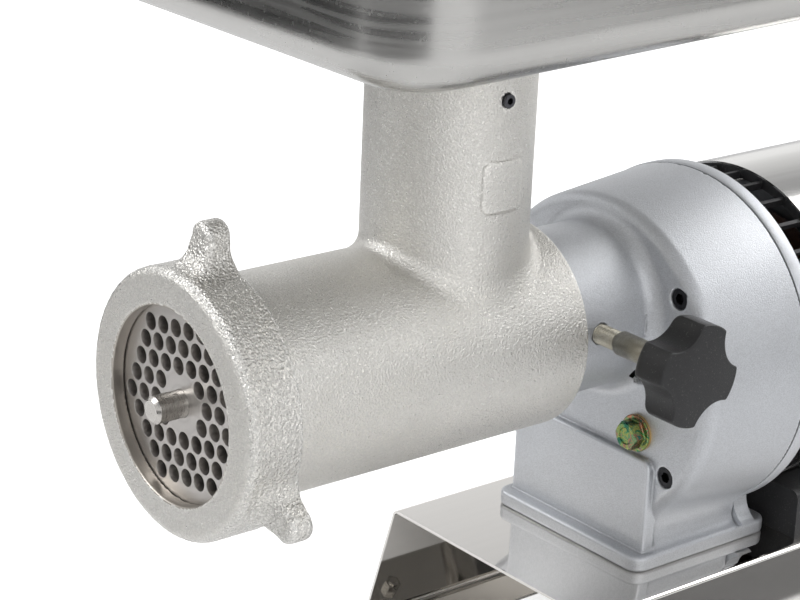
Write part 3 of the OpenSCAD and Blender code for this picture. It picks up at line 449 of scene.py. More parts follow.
def noise_of(tree, place, scale, detail=2.0, roughness=0.5, distortion=0.0):
    """Noise from 0 to 1."""
    made = add(tree, "ShaderNodeTexNoise", {
        "Vector": place, "Scale": scale, "Detail": detail, "Roughness": roughness,
        "Distortion": distortion,
    })
    return made.outputs["Fac"]


def new_group(name, takes, gives):
    """An empty shader group with named inputs and outputs."""
    group = bpy.data.node_groups.new(name, "ShaderNodeTree")
    for label, default in takes:
        socket = group.interface.new_socket(
            name=label, in_out="INPUT", socket_type="NodeSocketFloat"
        )
        socket.default_value = default
    for label in gives:
        group.interface.new_socket(name=label, in_out="OUTPUT", socket_type="NodeSocketFloat")
    return group, group.nodes.new("NodeGroupInput"), group.nodes.new("NodeGroupOutput")


def cast_grain_group():
    """Pebbles and pores of a rough casting."""
    group, taken, given = new_group(
        "Cast Grain", [("Pebbles", 600.0), ("Pores", 1900.0), ("Waves", 90.0)],
        ["Height", "Sparkle", "Tone"],
    )
    place = add(group, "ShaderNodeTexCoord").outputs["Object"]
    pebbles = add(group, "ShaderNodeTexVoronoi", {
        "Vector": place, "Scale": taken.outputs["Pebbles"], "Smoothness": 0.7,
    }, feature="SMOOTH_F1")
    grit = noise_of(group, place, taken.outputs["Pores"], 3.0, 0.65)
    waves = noise_of(group, place, taken.outputs["Waves"], 2.0, 0.5)
    round_tops = maths(group, "SUBTRACT", 1.0, pebbles.outputs["Distance"])
    height = maths(group, "MULTIPLY_ADD", grit, 1.1, round_tops)
    height = maths(group, "MULTIPLY_ADD", waves, 0.25, height)
    tone = noise_of(group, place, maths(group, "MULTIPLY", taken.outputs["Waves"], 0.35), 4.0, 0.6)
    group.links.new(height, given.inputs["Height"])
    group.links.new(between(group, grit, 0.42, 0.68), given.inputs["Sparkle"])
    group.links.new(between(group, tone, 0.32, 0.70), given.inputs["Tone"])
    return group


def brushed_group():
    """Fine parallel brush lines; the stretches say which way they run."""
    group, taken, given = new_group(
        "Brushed Lines",
        [("Scale", 2500.0), ("Stretch X", 1.0), ("Stretch Y", 1.0), ("Stretch Z", 1.0)],
        ["Height", "Streaks"],
    )
    place = add(group, "ShaderNodeTexCoord").outputs["Object"]
    stretch = add(group, "ShaderNodeCombineXYZ", {
        axis: taken.outputs["Stretch " + axis] for axis in "XYZ"
    })
    along = add(group, "ShaderNodeVectorMath", {0: place, 1: stretch.outputs[0]},
                operation="MULTIPLY").outputs[0]
    fine = noise_of(group, along, taken.outputs["Scale"], 2.0, 0.6)
    broad = noise_of(group, along, maths(group, "MULTIPLY", taken.outputs["Scale"], 0.08), 3.0)
    group.links.new(fine, given.inputs["Height"])
    group.links.new(between(group, broad, 0.35, 0.65), given.inputs["Streaks"])
    return group


def turned_group():
    """Fine rings left by a lathe or a grinder, about an axis along Y at one height."""
    group, taken, given = new_group(
        "Turned Rings", [("Rings", 2200.0), ("Axis Height", 0.212)], ["Height", "Streaks"],
    )
    place = add(group, "ShaderNodeTexCoord").outputs["Object"]
    parts = add(group, "ShaderNodeSeparateXYZ", {0: place})
    up = maths(group, "SUBTRACT", parts.outputs["Z"], taken.outputs["Axis Height"])
    across_squared = maths(group, "POWER", parts.outputs["X"], 2.0)
    up_squared = maths(group, "POWER", up, 2.0)
    reach = maths(group, "SQRT", maths(group, "ADD", across_squared, up_squared))
    flat = add(group, "ShaderNodeCombineXYZ", {"X": reach, "Y": parts.outputs["Y"]})
    rings = noise_of(group, flat.outputs[0], taken.outputs["Rings"], 2.0, 0.6)
    broad = noise_of(group, flat.outputs[0], 260.0, 2.0)
    group.links.new(rings, given.inputs["Height"])
    group.links.new(between(group, broad, 0.3, 0.7), given.inputs["Streaks"])
    return group


def handling_group():
    """Faint smudges and dust of use."""
    group, taken, given = new_group("Handling Marks", [("Size", 0.05)], ["Smudge", "Dust"])
    place = add(group, "ShaderNodeTexCoord").outputs["Object"]
    scale = maths(group, "DIVIDE", 1.0, taken.outputs["Size"])
    smudge = noise_of(group, place, scale, 4.0, 0.62, 0.6)
    specks = noise_of(group, place, maths(group, "MULTIPLY", scale, 40.0), 1.0)
    group.links.new(between(group, smudge, 0.42, 0.72), given.inputs["Smudge"])
    group.links.new(between(group, specks, 0.66, 0.74), given.inputs["Dust"])
    return group


def painted_edges_group():
    """Painted highlight along edges that stand proud, and painted shade in corners, from the mesh's pointiness."""
    group, taken, given = new_group("Painted Edge Highlight And Crease Shade", [("Reach", 0.04)], ["Edge", "Corner"])
    bend = add(group, "ShaderNodeNewGeometry").outputs["Pointiness"]
    high = maths(group, "ADD", 0.5, taken.outputs["Reach"])
    low = maths(group, "SUBTRACT", 0.5, taken.outputs["Reach"])
    # Edge: painted highlight where the surface bends outward
    group.links.new(between(group, bend, 0.505, high), given.inputs["Edge"])
    # Corner: painted shade where the surface bends inward
    group.links.new(between(group, bend, 0.495, low), given.inputs["Corner"])
    return group


GROUPS = {
    "Cast Grain": cast_grain_group,
    "Brushed Lines": brushed_group,
    "Turned Rings": turned_group,
    "Handling Marks": handling_group,
    "Painted Edge Highlight And Crease Shade": painted_edges_group,
}


def use(tree, name, **inputs):
    """Places a shared effect in a material."""
    group = bpy.data.node_groups.get(name) or GROUPS[name]()
    made = add(tree, "ShaderNodeGroup", node_tree=group)
    for key, value in inputs.items():
        made.inputs[key.replace("_", " ")].default_value = value
    return made.outputs


def new_finish(name, metallic=0.0, roughness=0.5, specular=0.5, coat=0.0, coat_roughness=0.2):
    """A material with its shader; the plain values sit on the shader itself."""
    material = bpy.data.materials.new(name)
    material.use_nodes = True
    tree = material.node_tree
    tree.nodes.clear()
    shader = add(tree, "ShaderNodeBsdfPrincipled", {
        "Metallic": metallic, "Roughness": roughness, "Specular IOR Level": specular,
        "Coat Weight": coat, "Coat Roughness": coat_roughness,
    })
    add(tree, "ShaderNodeOutputMaterial", {"Surface": shader.outputs["BSDF"]})
    return material, tree, shader.inputs


def relief(tree, shader, height, depth, strength=1.0):
    """Bump of that depth in metres."""
    bump = add(tree, "ShaderNodeBump", {"Height": height, "Distance": depth, "Strength": strength})
    tree.links.new(bump.outputs["Normal"], shader["Normal"])


def shade(base, factor):
    """A colour made lighter or darker."""
    return tuple(min(1.0, c * factor) for c in base)


# ---------- finishes ----------


def tinned_iron(name, base, pebbles, depth, roughness, speckle):
    """Tin plate over a rough iron casting."""
    material, tree, shader = new_finish(name, metallic=1.0)
    grain = use(tree, "Cast Grain", Pebbles=pebbles, Pores=pebbles * 0.9, Waves=85.0)
    painted_edges = use(tree, "Painted Edge Highlight And Crease Shade", Reach=0.06)
    marks = use(tree, "Handling Marks", Size=0.06)
    tint = mixed(tree, grain["Tone"], shade(base, 0.90), shade(base, 1.08))
    stained = mixed(tree, maths(tree, "MULTIPLY", marks["Smudge"], 0.16), tint,
                    (base[0] * 0.92, base[1] * 0.84, base[2] * 0.62))
    speckled = mixed(tree, grain["Sparkle"], shade(base, 1.0 - speckle), stained)
    # Painted highlight along proud edges and painted shade in creases
    bright = mixed(tree, maths(tree, "MULTIPLY", painted_edges["Edge"], 0.7), speckled, shade(base, 1.25))
    dark = mixed(tree, maths(tree, "MULTIPLY", painted_edges["Corner"], 0.35), bright, shade(base, 0.6))
    tree.links.new(dark, shader["Base Color"])
    gloss = between(tree, grain["Sparkle"], 0.0, 1.0, roughness + 0.14, roughness - 0.14)
    gloss = maths(tree, "MULTIPLY_ADD", marks["Smudge"], 0.05, gloss)
    tree.links.new(gloss, shader["Roughness"])
    relief(tree, shader, grain["Height"], depth)
    return material


def machined_metal(name, base, roughness, rings=2200.0, height=AXIS_Z, depth=0.00003):
    """Metal cut on a lathe, with fine rings."""
    material, tree, shader = new_finish(name, metallic=1.0)
    turned = use(tree, "Turned Rings", Rings=rings, Axis_Height=height)
    marks = use(tree, "Handling Marks", Size=0.03)
    painted_edges = use(tree, "Painted Edge Highlight And Crease Shade", Reach=0.08)
    tint = mixed(tree, turned["Streaks"], shade(base, 0.88), shade(base, 1.08))
    # Painted highlight along proud edges
    tint = mixed(tree, maths(tree, "MULTIPLY", painted_edges["Edge"], 0.6), tint, shade(base, 1.35))
    tree.links.new(tint, shader["Base Color"])
    gloss = between(tree, turned["Height"], 0.3, 0.7, roughness - 0.06, roughness + 0.06)
    gloss = maths(tree, "MULTIPLY_ADD", marks["Smudge"], 0.07, gloss)
    tree.links.new(gloss, shader["Roughness"])
    relief(tree, shader, turned["Height"], depth)
    return material


def sheet_metal(name, base, roughness, stretch, lines, depth, contrast):
    """Stainless sheet with brush lines that run one way."""
    material, tree, shader = new_finish(name, metallic=1.0)
    brushed = use(tree, "Brushed Lines", Scale=lines, Stretch_X=stretch[0], Stretch_Y=stretch[1],
                  Stretch_Z=stretch[2])
    marks = use(tree, "Handling Marks", Size=0.09)
    darker, lighter = shade(base, 1.0 - contrast), shade(base, 1.0 + contrast)
    tint = mixed(tree, brushed["Streaks"], darker, lighter)
    tree.links.new(tint, shader["Base Color"])
    gloss = between(tree, brushed["Streaks"], 0.0, 1.0, roughness * 0.8, roughness * 1.2)
    gloss = maths(tree, "MULTIPLY_ADD", marks["Smudge"], contrast, gloss)
    gloss = maths(tree, "MULTIPLY_ADD", marks["Dust"], contrast, gloss)
    tree.links.new(gloss, shader["Roughness"])
    relief(tree, shader, brushed["Height"], depth)
    return material


def silver_paint(base):
    """Silver paint with fine metal flakes over cast aluminium."""
    material, tree, shader = new_finish(
        "silver_paint", metallic=0.72, coat=0.18, coat_roughness=0.35
    )
    place = add(tree, "ShaderNodeTexCoord").outputs["Object"]
    flakes = add(tree, "ShaderNodeTexVoronoi", {"Vector": place, "Scale": 2600.0})
    flake_tone = add(tree, "ShaderNodeSeparateColor", {0: flakes.outputs["Color"]}).outputs[0]
    grain = use(tree, "Cast Grain", Pebbles=1400.0, Pores=3600.0, Waves=60.0)
    painted_edges = use(tree, "Painted Edge Highlight And Crease Shade", Reach=0.05)
    marks = use(tree, "Handling Marks", Size=0.08)
    tint = mixed(tree, flake_tone, shade(base, 0.86), shade(base, 1.14))
    tint = mixed(tree, maths(tree, "MULTIPLY", grain["Tone"], 0.30), tint, shade(base, 0.88))
    # Painted highlight along proud edges and painted shade in creases
    tint = mixed(tree, maths(tree, "MULTIPLY", painted_edges["Edge"], 0.45), tint, shade(base, 1.3))
    tint = mixed(tree, maths(tree, "MULTIPLY", painted_edges["Corner"], 0.35), tint, shade(base, 0.62))
    tree.links.new(tint, shader["Base Color"])
    gloss = between(tree, flake_tone, 0.0, 1.0, 0.36, 0.48)
    gloss = maths(tree, "MULTIPLY_ADD", marks["Smudge"], 0.06, gloss)
    tree.links.new(gloss, shader["Roughness"])
    relief(tree, shader, grain["Height"], 0.00010)
    return material


def moulded(name, base, roughness, grain_scale, depth):
    """Moulded plastic or rubber with a fine grain."""
    material, tree, shader = new_finish(name, specular=0.42)
    grain = use(tree, "Cast Grain", Pebbles=grain_scale, Pores=grain_scale * 2.5, Waves=50.0)
    painted_edges = use(tree, "Painted Edge Highlight And Crease Shade", Reach=0.05)
    marks = use(tree, "Handling Marks", Size=0.035)
    tint = mixed(tree, grain["Tone"], shade(base, 0.85), shade(base, 1.25))
    # Painted highlight along proud edges
    tint = mixed(tree, maths(tree, "MULTIPLY", painted_edges["Edge"], 0.5), tint,
                 tuple(c * 1.6 + 0.02 for c in base))
    tint = mixed(tree, maths(tree, "MULTIPLY", marks["Dust"], 0.35), tint, (0.16, 0.155, 0.15))
    tree.links.new(tint, shader["Base Color"])
    gloss = between(tree, grain["Sparkle"], 0.0, 1.0, roughness + 0.05, roughness - 0.05)
    gloss = maths(tree, "MULTIPLY_ADD", marks["Smudge"], 0.10, gloss)
    tree.links.new(gloss, shader["Roughness"])
    relief(tree, shader, grain["Height"], depth)
    return material


def zinc_plated(name, stops, roughness, size):
    """Yellow zinc plating whose colour drifts through an oil-film range."""
    material, tree, shader = new_finish(name, metallic=1.0)
    place = add(tree, "ShaderNodeTexCoord").outputs["Object"]
    drift = noise_of(tree, place, 1.0 / size, 1.5, 0.45, 1.2)
    ramp = add(tree, "ShaderNodeValToRGB", {"Fac": between(tree, drift, 0.28, 0.72)})
    while len(ramp.color_ramp.elements) < len(stops):
        ramp.color_ramp.elements.new(0.5)
    for i, (element, tint) in enumerate(zip(ramp.color_ramp.elements, stops)):
        element.position = i / (len(stops) - 1)
        element.color = (*tint, 1.0)
    grain = use(tree, "Cast Grain", Pebbles=2400.0, Pores=5200.0, Waves=300.0)
    tree.links.new(ramp.outputs["Color"], shader["Base Color"])
    gloss = between(tree, grain["Sparkle"], 0.0, 1.0, roughness + 0.08, roughness - 0.05)
    tree.links.new(gloss, shader["Roughness"])
    relief(tree, shader, grain["Height"], 0.00006)
    return material


def wound_copper():
    """Enamelled copper wire in neat turns."""
    material, tree, shader = new_finish("copper_windings", metallic=0.8, coat=0.6)
    place = add(tree, "ShaderNodeTexCoord").outputs["Object"]
    wires = add(tree, "ShaderNodeTexWave", {"Vector": place, "Scale": 420.0, "Distortion": 1.5},
                bands_direction="Y")
    tint = mixed(tree, wires.outputs["Fac"], (0.020, 0.008, 0.004), (0.11, 0.040, 0.014))
    tree.links.new(tint, shader["Base Color"])
    tree.links.new(between(tree, wires.outputs["Fac"], 0.0, 1.0, 0.5, 0.25), shader["Roughness"])
    relief(tree, shader, wires.outputs["Fac"], 0.0006)
    return material


def laminated_steel():
    """A stack of thin steel sheets."""
    material, tree, shader = new_finish("laminated_steel", metallic=1.0)
    place = add(tree, "ShaderNodeTexCoord").outputs["Object"]
    sheets = add(tree, "ShaderNodeTexWave", {"Vector": place, "Scale": 320.0, "Distortion": 0.0},
                 bands_direction="Y")
    marks = use(tree, "Handling Marks", Size=0.02)
    tint = mixed(tree, sheets.outputs["Fac"], (0.09, 0.09, 0.10), (0.32, 0.33, 0.35))
    tree.links.new(tint, shader["Base Color"])
    tree.links.new(between(tree, marks["Smudge"], 0.0, 1.0, 0.38, 0.55), shader["Roughness"])
    relief(tree, shader, sheets.outputs["Fac"], 0.0002)
    return material


def make_finishes(sizes):
    """Every finish of the machine, by the record's slot name."""
    pebbles = 1.0 / sizes.pebble
    lines = 1.0 / sizes.brush
    rainbow = [(0.03, 0.14, 0.09), (0.08, 0.26, 0.12), (0.36, 0.36, 0.10), (0.12, 0.28, 0.14),
               (0.45, 0.20, 0.12), (0.05, 0.19, 0.15)]
    olive = [(0.30, 0.29, 0.25), (0.42, 0.40, 0.34), (0.34, 0.32, 0.26), (0.50, 0.48, 0.43)]
    return {
        "tinned_iron": tinned_iron("tinned_iron", sizes.tin, pebbles, 0.00032, 0.33, 0.15),
        "tinned_ring": tinned_iron("tinned_ring", shade(sizes.tin, 1.06), pebbles * 0.75, 0.00065,
                                   0.22, 0.26),
        "tinned_face": tinned_iron("tinned_face", sizes.tin, pebbles, 0.00034,
                                   0.34, 0.18),
        "machined_tin": machined_metal("machined_tin", sizes.tin_machined, 0.40, 1500.0),
        "plate_steel": machined_metal("plate_steel", sizes.plate, 0.34, 2600.0),
        "steel": machined_metal("turned_steel", sizes.steel, 0.24, 3000.0, depth=0.000004),
        "gear_steel": machined_metal("gear_steel", shade(sizes.steel, 0.7), 0.30, 1800.0),
        "dark_steel": machined_metal("dark_steel", (0.10, 0.10, 0.11), 0.34, 1800.0),
        "tray_stainless": sheet_metal("tray_stainless", sizes.stainless, 0.26, (0.03, 0.03, 1.0),
                                      lines, 0.0000015, 0.05),
        "mirror_stainless": sheet_metal("mirror_stainless", sizes.mirror, 0.045,
                                        (1.0, 0.02, 1.0), lines, 0.0000002, 0.008),
        "shroud_stainless": sheet_metal("shroud_stainless", shade(sizes.stainless, 1.38), 0.14,
                                        (1.0, 0.02, 1.0), lines, 0.000005, 0.04),
        "silver_paint": silver_paint(sizes.silver),
        "knob_black": moulded("knob_black", sizes.knob, 0.36, 2600.0, 0.00004),
        "black_plastic": moulded("black_plastic", sizes.plastic, 0.42, 2000.0, 0.00005),
        "rubber": moulded("rubber", sizes.rubber, 0.68, 1500.0, 0.00008),
        "gasket": moulded("gasket", (0.05, 0.048, 0.045), 0.75, 1800.0, 0.00005),
        "fibre": moulded("fibre", (0.42, 0.30, 0.16), 0.62, 1500.0, 0.00006),
        "switch_red": moulded("switch_red", (0.48, 0.025, 0.02), 0.30, 2400.0, 0.00002),
        "black_screw": machined_metal("black_screw", (0.035, 0.035, 0.038), 0.36, 2600.0),
        "zinc_plug": zinc_plated("zinc_plug", rainbow, 0.22, 0.0055),
        "zinc_stud": zinc_plated("zinc_stud", olive, 0.26, 0.012),
        "brass": machined_metal("brass", sizes.brass, 0.28, 2400.0),
        "bronze": machined_metal("bronze", shade(sizes.brass, 0.8), 0.34, 2000.0),
        "capacitor_grey": machined_metal("capacitor_grey", (0.44, 0.45, 0.46), 0.34, 900.0),
        "copper": wound_copper(),
        "lamination": laminated_steel(),
    }


FINISHES = {}


# ---------- pieces ----------


class GRINDER_OT_finishes(Operator):
    """Make every finish"""

    bl_idname = "grinder.finishes"
    bl_label = "Finishes"

    def execute(self, context):
        FINISHES.update(make_finishes(context.scene.grinder_finish))
        return {"FINISHED"}


class GRINDER_OT_head(Operator):
    """Cast the head: barrel, feed throat, collar and spigot in one piece"""

    bl_idname = "grinder.head"
    bl_label = "Head"

    def execute(self, context):
        sizes = context.scene.grinder_head
        low, high = (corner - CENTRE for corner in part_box("head_casting"))
        plate_back = (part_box("cutting_plate")[1] - CENTRE).y + PASS_GAP
        bulkhead = (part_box("thrust_washer")[1] - CENTRE).y
        bush = (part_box("worm_bush")[1] - CENTRE).x
        screw = (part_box("throat_set_screw")[0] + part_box("throat_set_screw")[1]) / 2 - CENTRE
        stud_y = joint_place("knob_turn").y - CENTRE.y
        collar_end = low.y + sizes.collar_length
        pad_proud, pad_half, pad_low, pad_high, pad_corner = 0.001, 0.0115, 0.074, 0.098, 0.004
        flat_depth, flat_half, screw_radius = 0.0014, 0.008, 0.003
        edge, barrel_edge, pad_edge, hole_edge, cut_edge = 0.0015, 0.0012, 0.0006, 0.0008, 0.0004
        collar_fillet, pad_fillet, spigot_fillet, feed_fillet = 0.004, 0.0012, 0.001, 0.002
        bore_end_fillet, near_rear = 0.003, 0.0003

        def distance(p):
            x, y, z = p.T
            barrel = rod(x, z, y, sizes.barrel_radius, low.y, sizes.barrel_rear, barrel_edge)
            collar = rod(x, z, y, high.x, low.y, collar_end, edge)
            throat = rod(x, y, z, sizes.throat_radius, 0.0, high.z, edge)
            pad = rounded(np.hypot(x, y) - sizes.throat_radius - pad_proud,
                          bar(y, z, x, pad_half, pad_low, pad_high, 0.0, FAR, pad_corner, 0.0),
                          pad_edge)
            spigot = rod(x, z, y, sizes.spigot_radius, 0.0, high.y, edge)
            shape = fillet(fillet(barrel, throat, sizes.junction_fillet), collar, collar_fillet)
            shape = fillet(fillet(shape, pad, pad_fillet), spigot, spigot_fillet)
            bore = rod(x, z, y, sizes.bore_radius, -FAR, bulkhead, bore_end_fillet)
            pocket = rod(x, z, y, sizes.pocket_radius, -FAR, plate_back, 0.0)
            feed = rod(x, y, z, sizes.throat_bore, 0.0, FAR, 0.0)
            journal = rod(x, z, y, bush, 0.0, FAR, 0.0)
            holes = fillet(either(bore, pocket, journal), feed, feed_fillet)
            shape = rounded(shape, -holes, hole_edge)
            flat = np.maximum(sizes.spigot_radius - flat_depth - x, stud_y - flat_half - y)
            hole = rod(y, z - screw.z, x, screw_radius, 0.0, FAR, 0.0)
            return rounded(shape, -either(flat, hole), cut_edge)

        def cut_faces(p):
            radial = np.hypot(p[:, 0], p[:, 2])
            pocket = (radial < sizes.pocket_radius + NEAR) & (p[:, 1] < plate_back)
            front = p[:, 1] < low.y + NEAR
            spigot = p[:, 1] > sizes.barrel_rear - near_rear
            return pocket | front | spigot

        cast_piece("head", "head_casting", "head", distance, sizes.cell,
                   [FINISHES["tinned_iron"], FINISHES["machined_tin"]], cut_faces)
        return {"FINISHED"}


class GRINDER_OT_ring(Operator):
    """Cast the ring nut with its horn-like grip lugs"""

    bl_idname = "grinder.ring"
    bl_label = "Ring nut"

    def execute(self, context):
        sizes = context.scene.grinder_ring
        low, high = (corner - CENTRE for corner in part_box("ring_nut"))
        ring_radius = high.z - sizes.lug_height
        thread = (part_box("head_casting")[1] - CENTRE).x + PASS_GAP
        root = ring_radius - 0.002
        tip = high.z - sizes.lug_tip
        lug_lean, lug_edge, rear_edge, mouth_edge = 0.004, 0.0032, 0.0015, 0.0007
        near_bore, top = 0.0005, math.radians(90)

        def lug(p, angle):
            x, y, z = p.T
            along = x * math.cos(angle) + z * math.sin(angle)
            across = z * math.cos(angle) - x * math.sin(angle)
            share_up = np.clip((along - root) / (tip - root), 0.0, 1.0)
            half = sizes.lug_root + (sizes.lug_tip - sizes.lug_root) * share_up
            horn = np.hypot(along - np.clip(along, root, tip), across) - half
            front = high.y - sizes.lug_depth + lug_lean * share_up
            return rounded(horn, np.maximum(front - y, y - high.y), lug_edge)

        def distance(p):
            x, y, z = p.T
            shape = rounded(np.hypot(x, z) - ring_radius, low.y - y, sizes.front_edge)
            shape = rounded(shape, y - high.y, rear_edge)
            for i in range(sizes.lugs):
                angle = top + i * 2 * math.pi / sizes.lugs
                shape = fillet(shape, lug(p, angle), sizes.lug_fillet)
            shape = shape + lumps(p, sizes.lumps) * sizes.lump_depth
            shape = np.maximum(shape, np.maximum(low.y - y, y - high.y))
            mouth = np.hypot(x, z) - sizes.mouth_radius
            thread_bore = rod(x, z, y, thread, low.y + sizes.lip, 0.0, 0.0)
            return rounded(shape, -either(mouth, thread_bore), mouth_edge)

        def faces(p):
            radial = np.hypot(p[:, 0], p[:, 2])
            inner = radial < sizes.mouth_radius + mouth_edge
            bore = (radial < thread + near_bore) & (p[:, 1] > low.y + sizes.lip - near_bore)
            front = (p[:, 1] < low.y + sizes.cell) & ~inner
            return np.where(inner | bore, 1, np.where(front, 2, 0))

        cast_piece("ring", "ring_nut", "ring", distance, sizes.cell,
                   [FINISHES["tinned_ring"], FINISHES["machined_tin"], FINISHES["tinned_face"]],
                   faces)
        return {"FINISHED"}


class GRINDER_OT_gearbox(Operator):
    """Cast the gearbox: drum, neck, pedestal, cover panel and foot"""

    bl_idname = "grinder.gearbox"
    bl_label = "Gearbox housing"

    def execute(self, context):
        sizes = context.scene.grinder_gearbox
        low, high = (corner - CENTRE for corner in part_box("gear_housing"))
        drum_z = MOTOR_Z - CENTRE.z
        foot_low, foot_high = low.z, low.z + sizes.foot_height
        foot_front = sizes.drum_front - sizes.foot_reach
        drum_inside = sizes.drum_front + 0.004
        cavity_front = sizes.drum_front + sizes.wall
        stud = joint_place("knob_turn") - CENTRE
        plug = sum(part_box("oil_plug"), Vector()) / 2 - CENTRE
        seal_face = (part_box("output_seal")[0] - CENTRE).y
        seal_radius = (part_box("output_seal")[1] - CENTRE).x
        bearing_back = (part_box("output_front_bearing")[1] - CENTRE).y
        bearing_radius = (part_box("output_front_bearing")[1] - CENTRE).x
        upper_screw, lower_screw = (0.0555, 0.017), (0.056, -0.076)
        screws = [(s * x, z) for x, z in (upper_screw, lower_screw) for s in (-1, 1)]
        bolt_x, bolt_inset = 0.040, 0.012
        bolt_rows = (foot_front + bolt_inset, high.y - bolt_inset)
        bolts = [(s * bolt_x, y) for y in bolt_rows for s in (-1, 1)]
        screw_radius, bolt_radius, stud_radius, plug_radius = 0.0054, 0.004, 0.00505, 0.006
        flat_depth, flat_low, flat_high, flat_back = 0.0007, -0.008, 0.0064, 0.006
        seal_depth, race_start, boss_wall = 0.0045, 0.004, 0.005
        foot_corner, foot_edge, panel_lift, panel_corner = 0.008, 0.0018, 0.002, 0.006
        panel_edge, panel_fillet, neck_edge, cavity_edge = 0.0014, 0.0005, 0.001, 0.003
        hole_edge, flat_edge = 0.0007, 0.0002

        def distance(p):
            x, y, z = p.T
            run = np.clip((y - sizes.drum_front) / (sizes.drum_back - sizes.drum_front), 0, 1)
            taper = sizes.front_radius + (sizes.rear_radius - sizes.front_radius) * run
            block = np.maximum(np.abs(x) - sizes.pedestal_half, z - drum_z)
            outline = fillet(np.hypot(x, z - drum_z) - taper, block, sizes.pedestal_fillet)
            body = rounded(outline, sizes.drum_front - y, sizes.drum_edge)
            neck = rod(x, z, y, sizes.neck_radius, sizes.neck_front, drum_inside, neck_edge)
            shape = fillet(body, neck, sizes.neck_fillet)
            foot = bar(x, y, z, sizes.foot_half, foot_front, high.y, foot_low, foot_high,
                       foot_corner, foot_edge)
            shape = np.maximum(fillet(shape, foot, sizes.foot_fillet), y - sizes.drum_back)
            panel = bar(x, z, y, sizes.panel_half, foot_low + panel_lift, -sizes.panel_top,
                        sizes.drum_front - sizes.panel_proud, drum_inside, panel_corner,
                        panel_edge)
            shape = fillet(shape, panel, panel_fillet)
            shape = np.maximum(either(shape, foot), foot_low - z)
            boss_flat = np.maximum(sizes.neck_radius - flat_depth - x,
                                   slab(z, flat_low, flat_high))
            boss_flat = np.maximum(boss_flat, y - sizes.drum_front + flat_back)
            cavity = rod(x, z - drum_z, y, sizes.front_radius - sizes.wall, cavity_front, FAR,
                         cavity_edge)
            boss = rod(x, z, y, bearing_radius + boss_wall, 0.0, bearing_back, neck_edge)
            holes = either(
                rounded(cavity, -boss, neck_edge),
                rod(x, z, y, sizes.socket_radius, 0.0, seal_face, 0.0),
                rod(x, z, y, seal_radius, 0.0, seal_face + seal_depth, 0.0),
                rod(x, z, y, bearing_radius, seal_face + race_start, FAR, 0.0),
                rod(y - stud.y, z - stud.z, x, stud_radius, 0.0, FAR, 0.0),
                rod(x - plug.x, z - plug.z, y, plug_radius, 0.0, FAR, 0.0),
                *(rod(x - at_x, z - at_z, y, screw_radius, 0.0, cavity_front, 0.0)
                  for at_x, at_z in screws),
                *(rod(x - at_x, y - at_y, z, bolt_radius, -FAR, foot_low + sizes.bolt_depth, 0.0)
                  for at_x, at_y in bolts),
            )
            return rounded(rounded(shape, -holes, hole_edge), -boss_flat, flat_edge)

        cast_piece("gearbox", "gear_housing", "frame", distance, sizes.cell,
                   [FINISHES["silver_paint"]])
        return {"FINISHED"}


class GRINDER_OT_knob(Operator):
    """Mould the clamp knob with its scalloped lobes"""

    bl_idname = "grinder.knob"
    bl_label = "Clamp knob"

    def execute(self, context):
        sizes = context.scene.grinder_knob
        low, high = (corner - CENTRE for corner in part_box("clamp_knob"))
        axis = joint_place("knob_turn") - CENTRE
        insert_end = (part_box("knob_insert")[1] - CENTRE).x

        def distance(p):
            x, y, z = p.T
            a, b = y - axis.y, z - axis.z
            radial = np.hypot(a, b)
            crown = high.x - sizes.crown * (radial / sizes.radius) ** 2
            shape = rounded(radial - sizes.radius, low.x - x, sizes.back_edge)
            shape = rounded(shape, x - crown, sizes.edge)
            for i in range(sizes.lobes):
                angle = sizes.turned + (i + 0.5) * 2 * math.pi / sizes.lobes
                scoop = np.hypot(a - sizes.scallop_reach * math.cos(angle),
                                 b - sizes.scallop_reach * math.sin(angle)) - sizes.scallop
                shape = rounded(shape, -scoop, sizes.edge)
            hub = rod(a, b, x, sizes.hub_radius, 0.0, insert_end, 0.0)
            return rounded(shape, -hub, sizes.hub_edge)

        cast_piece("knob", "clamp_knob", "clamp", distance, sizes.cell, [FINISHES["knob_black"]])
        return {"FINISHED"}


class GRINDER_OT_stud(Operator):
    """Turn the clamp stud, with its real thread and smooth shank"""

    bl_idname = "grinder.stud"
    bl_label = "Clamp stud"

    def execute(self, context):
        low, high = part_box("clamp_stud")
        axis = joint_place("knob_turn")
        shank = (high.z - low.z) / 2
        relief_depth, chamfer = 0.001, 0.0005
        thread = shank - relief_depth
        pitch, depth, flank = 0.0015, 0.00085, 1.25
        thread_end = low.x + 0.0175
        sides, steps_per_turn = 48, 10
        step = pitch / steps_per_turn
        rings = []
        count = round((thread_end - low.x) / step)
        for i in range(count + 1):
            x = low.x + i * step
            fade = min(1.0, (x - low.x) / pitch, (thread_end - x) / pitch + 0.02)
            start = 0.0006 if i == 0 else 0.0
            ring = []
            for j in range(sides):
                turn = (x / pitch - j / sides) % 1.0
                cut = depth * min(1.0, flank * abs(2 * turn - 1)) * max(fade, 0.0)
                r = thread - cut - start
                angle = 2 * math.pi * j / sides
                ring.append((x, axis.y + r * math.cos(angle), axis.z + r * math.sin(angle)))
            rings.append(ring)
        shoulder = thread_end + 0.0002
        for x, r in ((shoulder, thread), (shoulder + 0.0006, shank - 0.0004),
                     (shoulder + relief_depth, shank), (high.x - chamfer, shank),
                     (high.x, shank - chamfer)):
            rings.append([(x, axis.y + a, axis.z + b) for a, b in circle(r, sides)])
        piece = skin("stud", rings, FINISHES["zinc_stud"], closed_ends=True)
        keep_edges(piece, math.radians(50))
        stand_for(piece, "clamp", "clamp_stud")
        return {"FINISHED"}


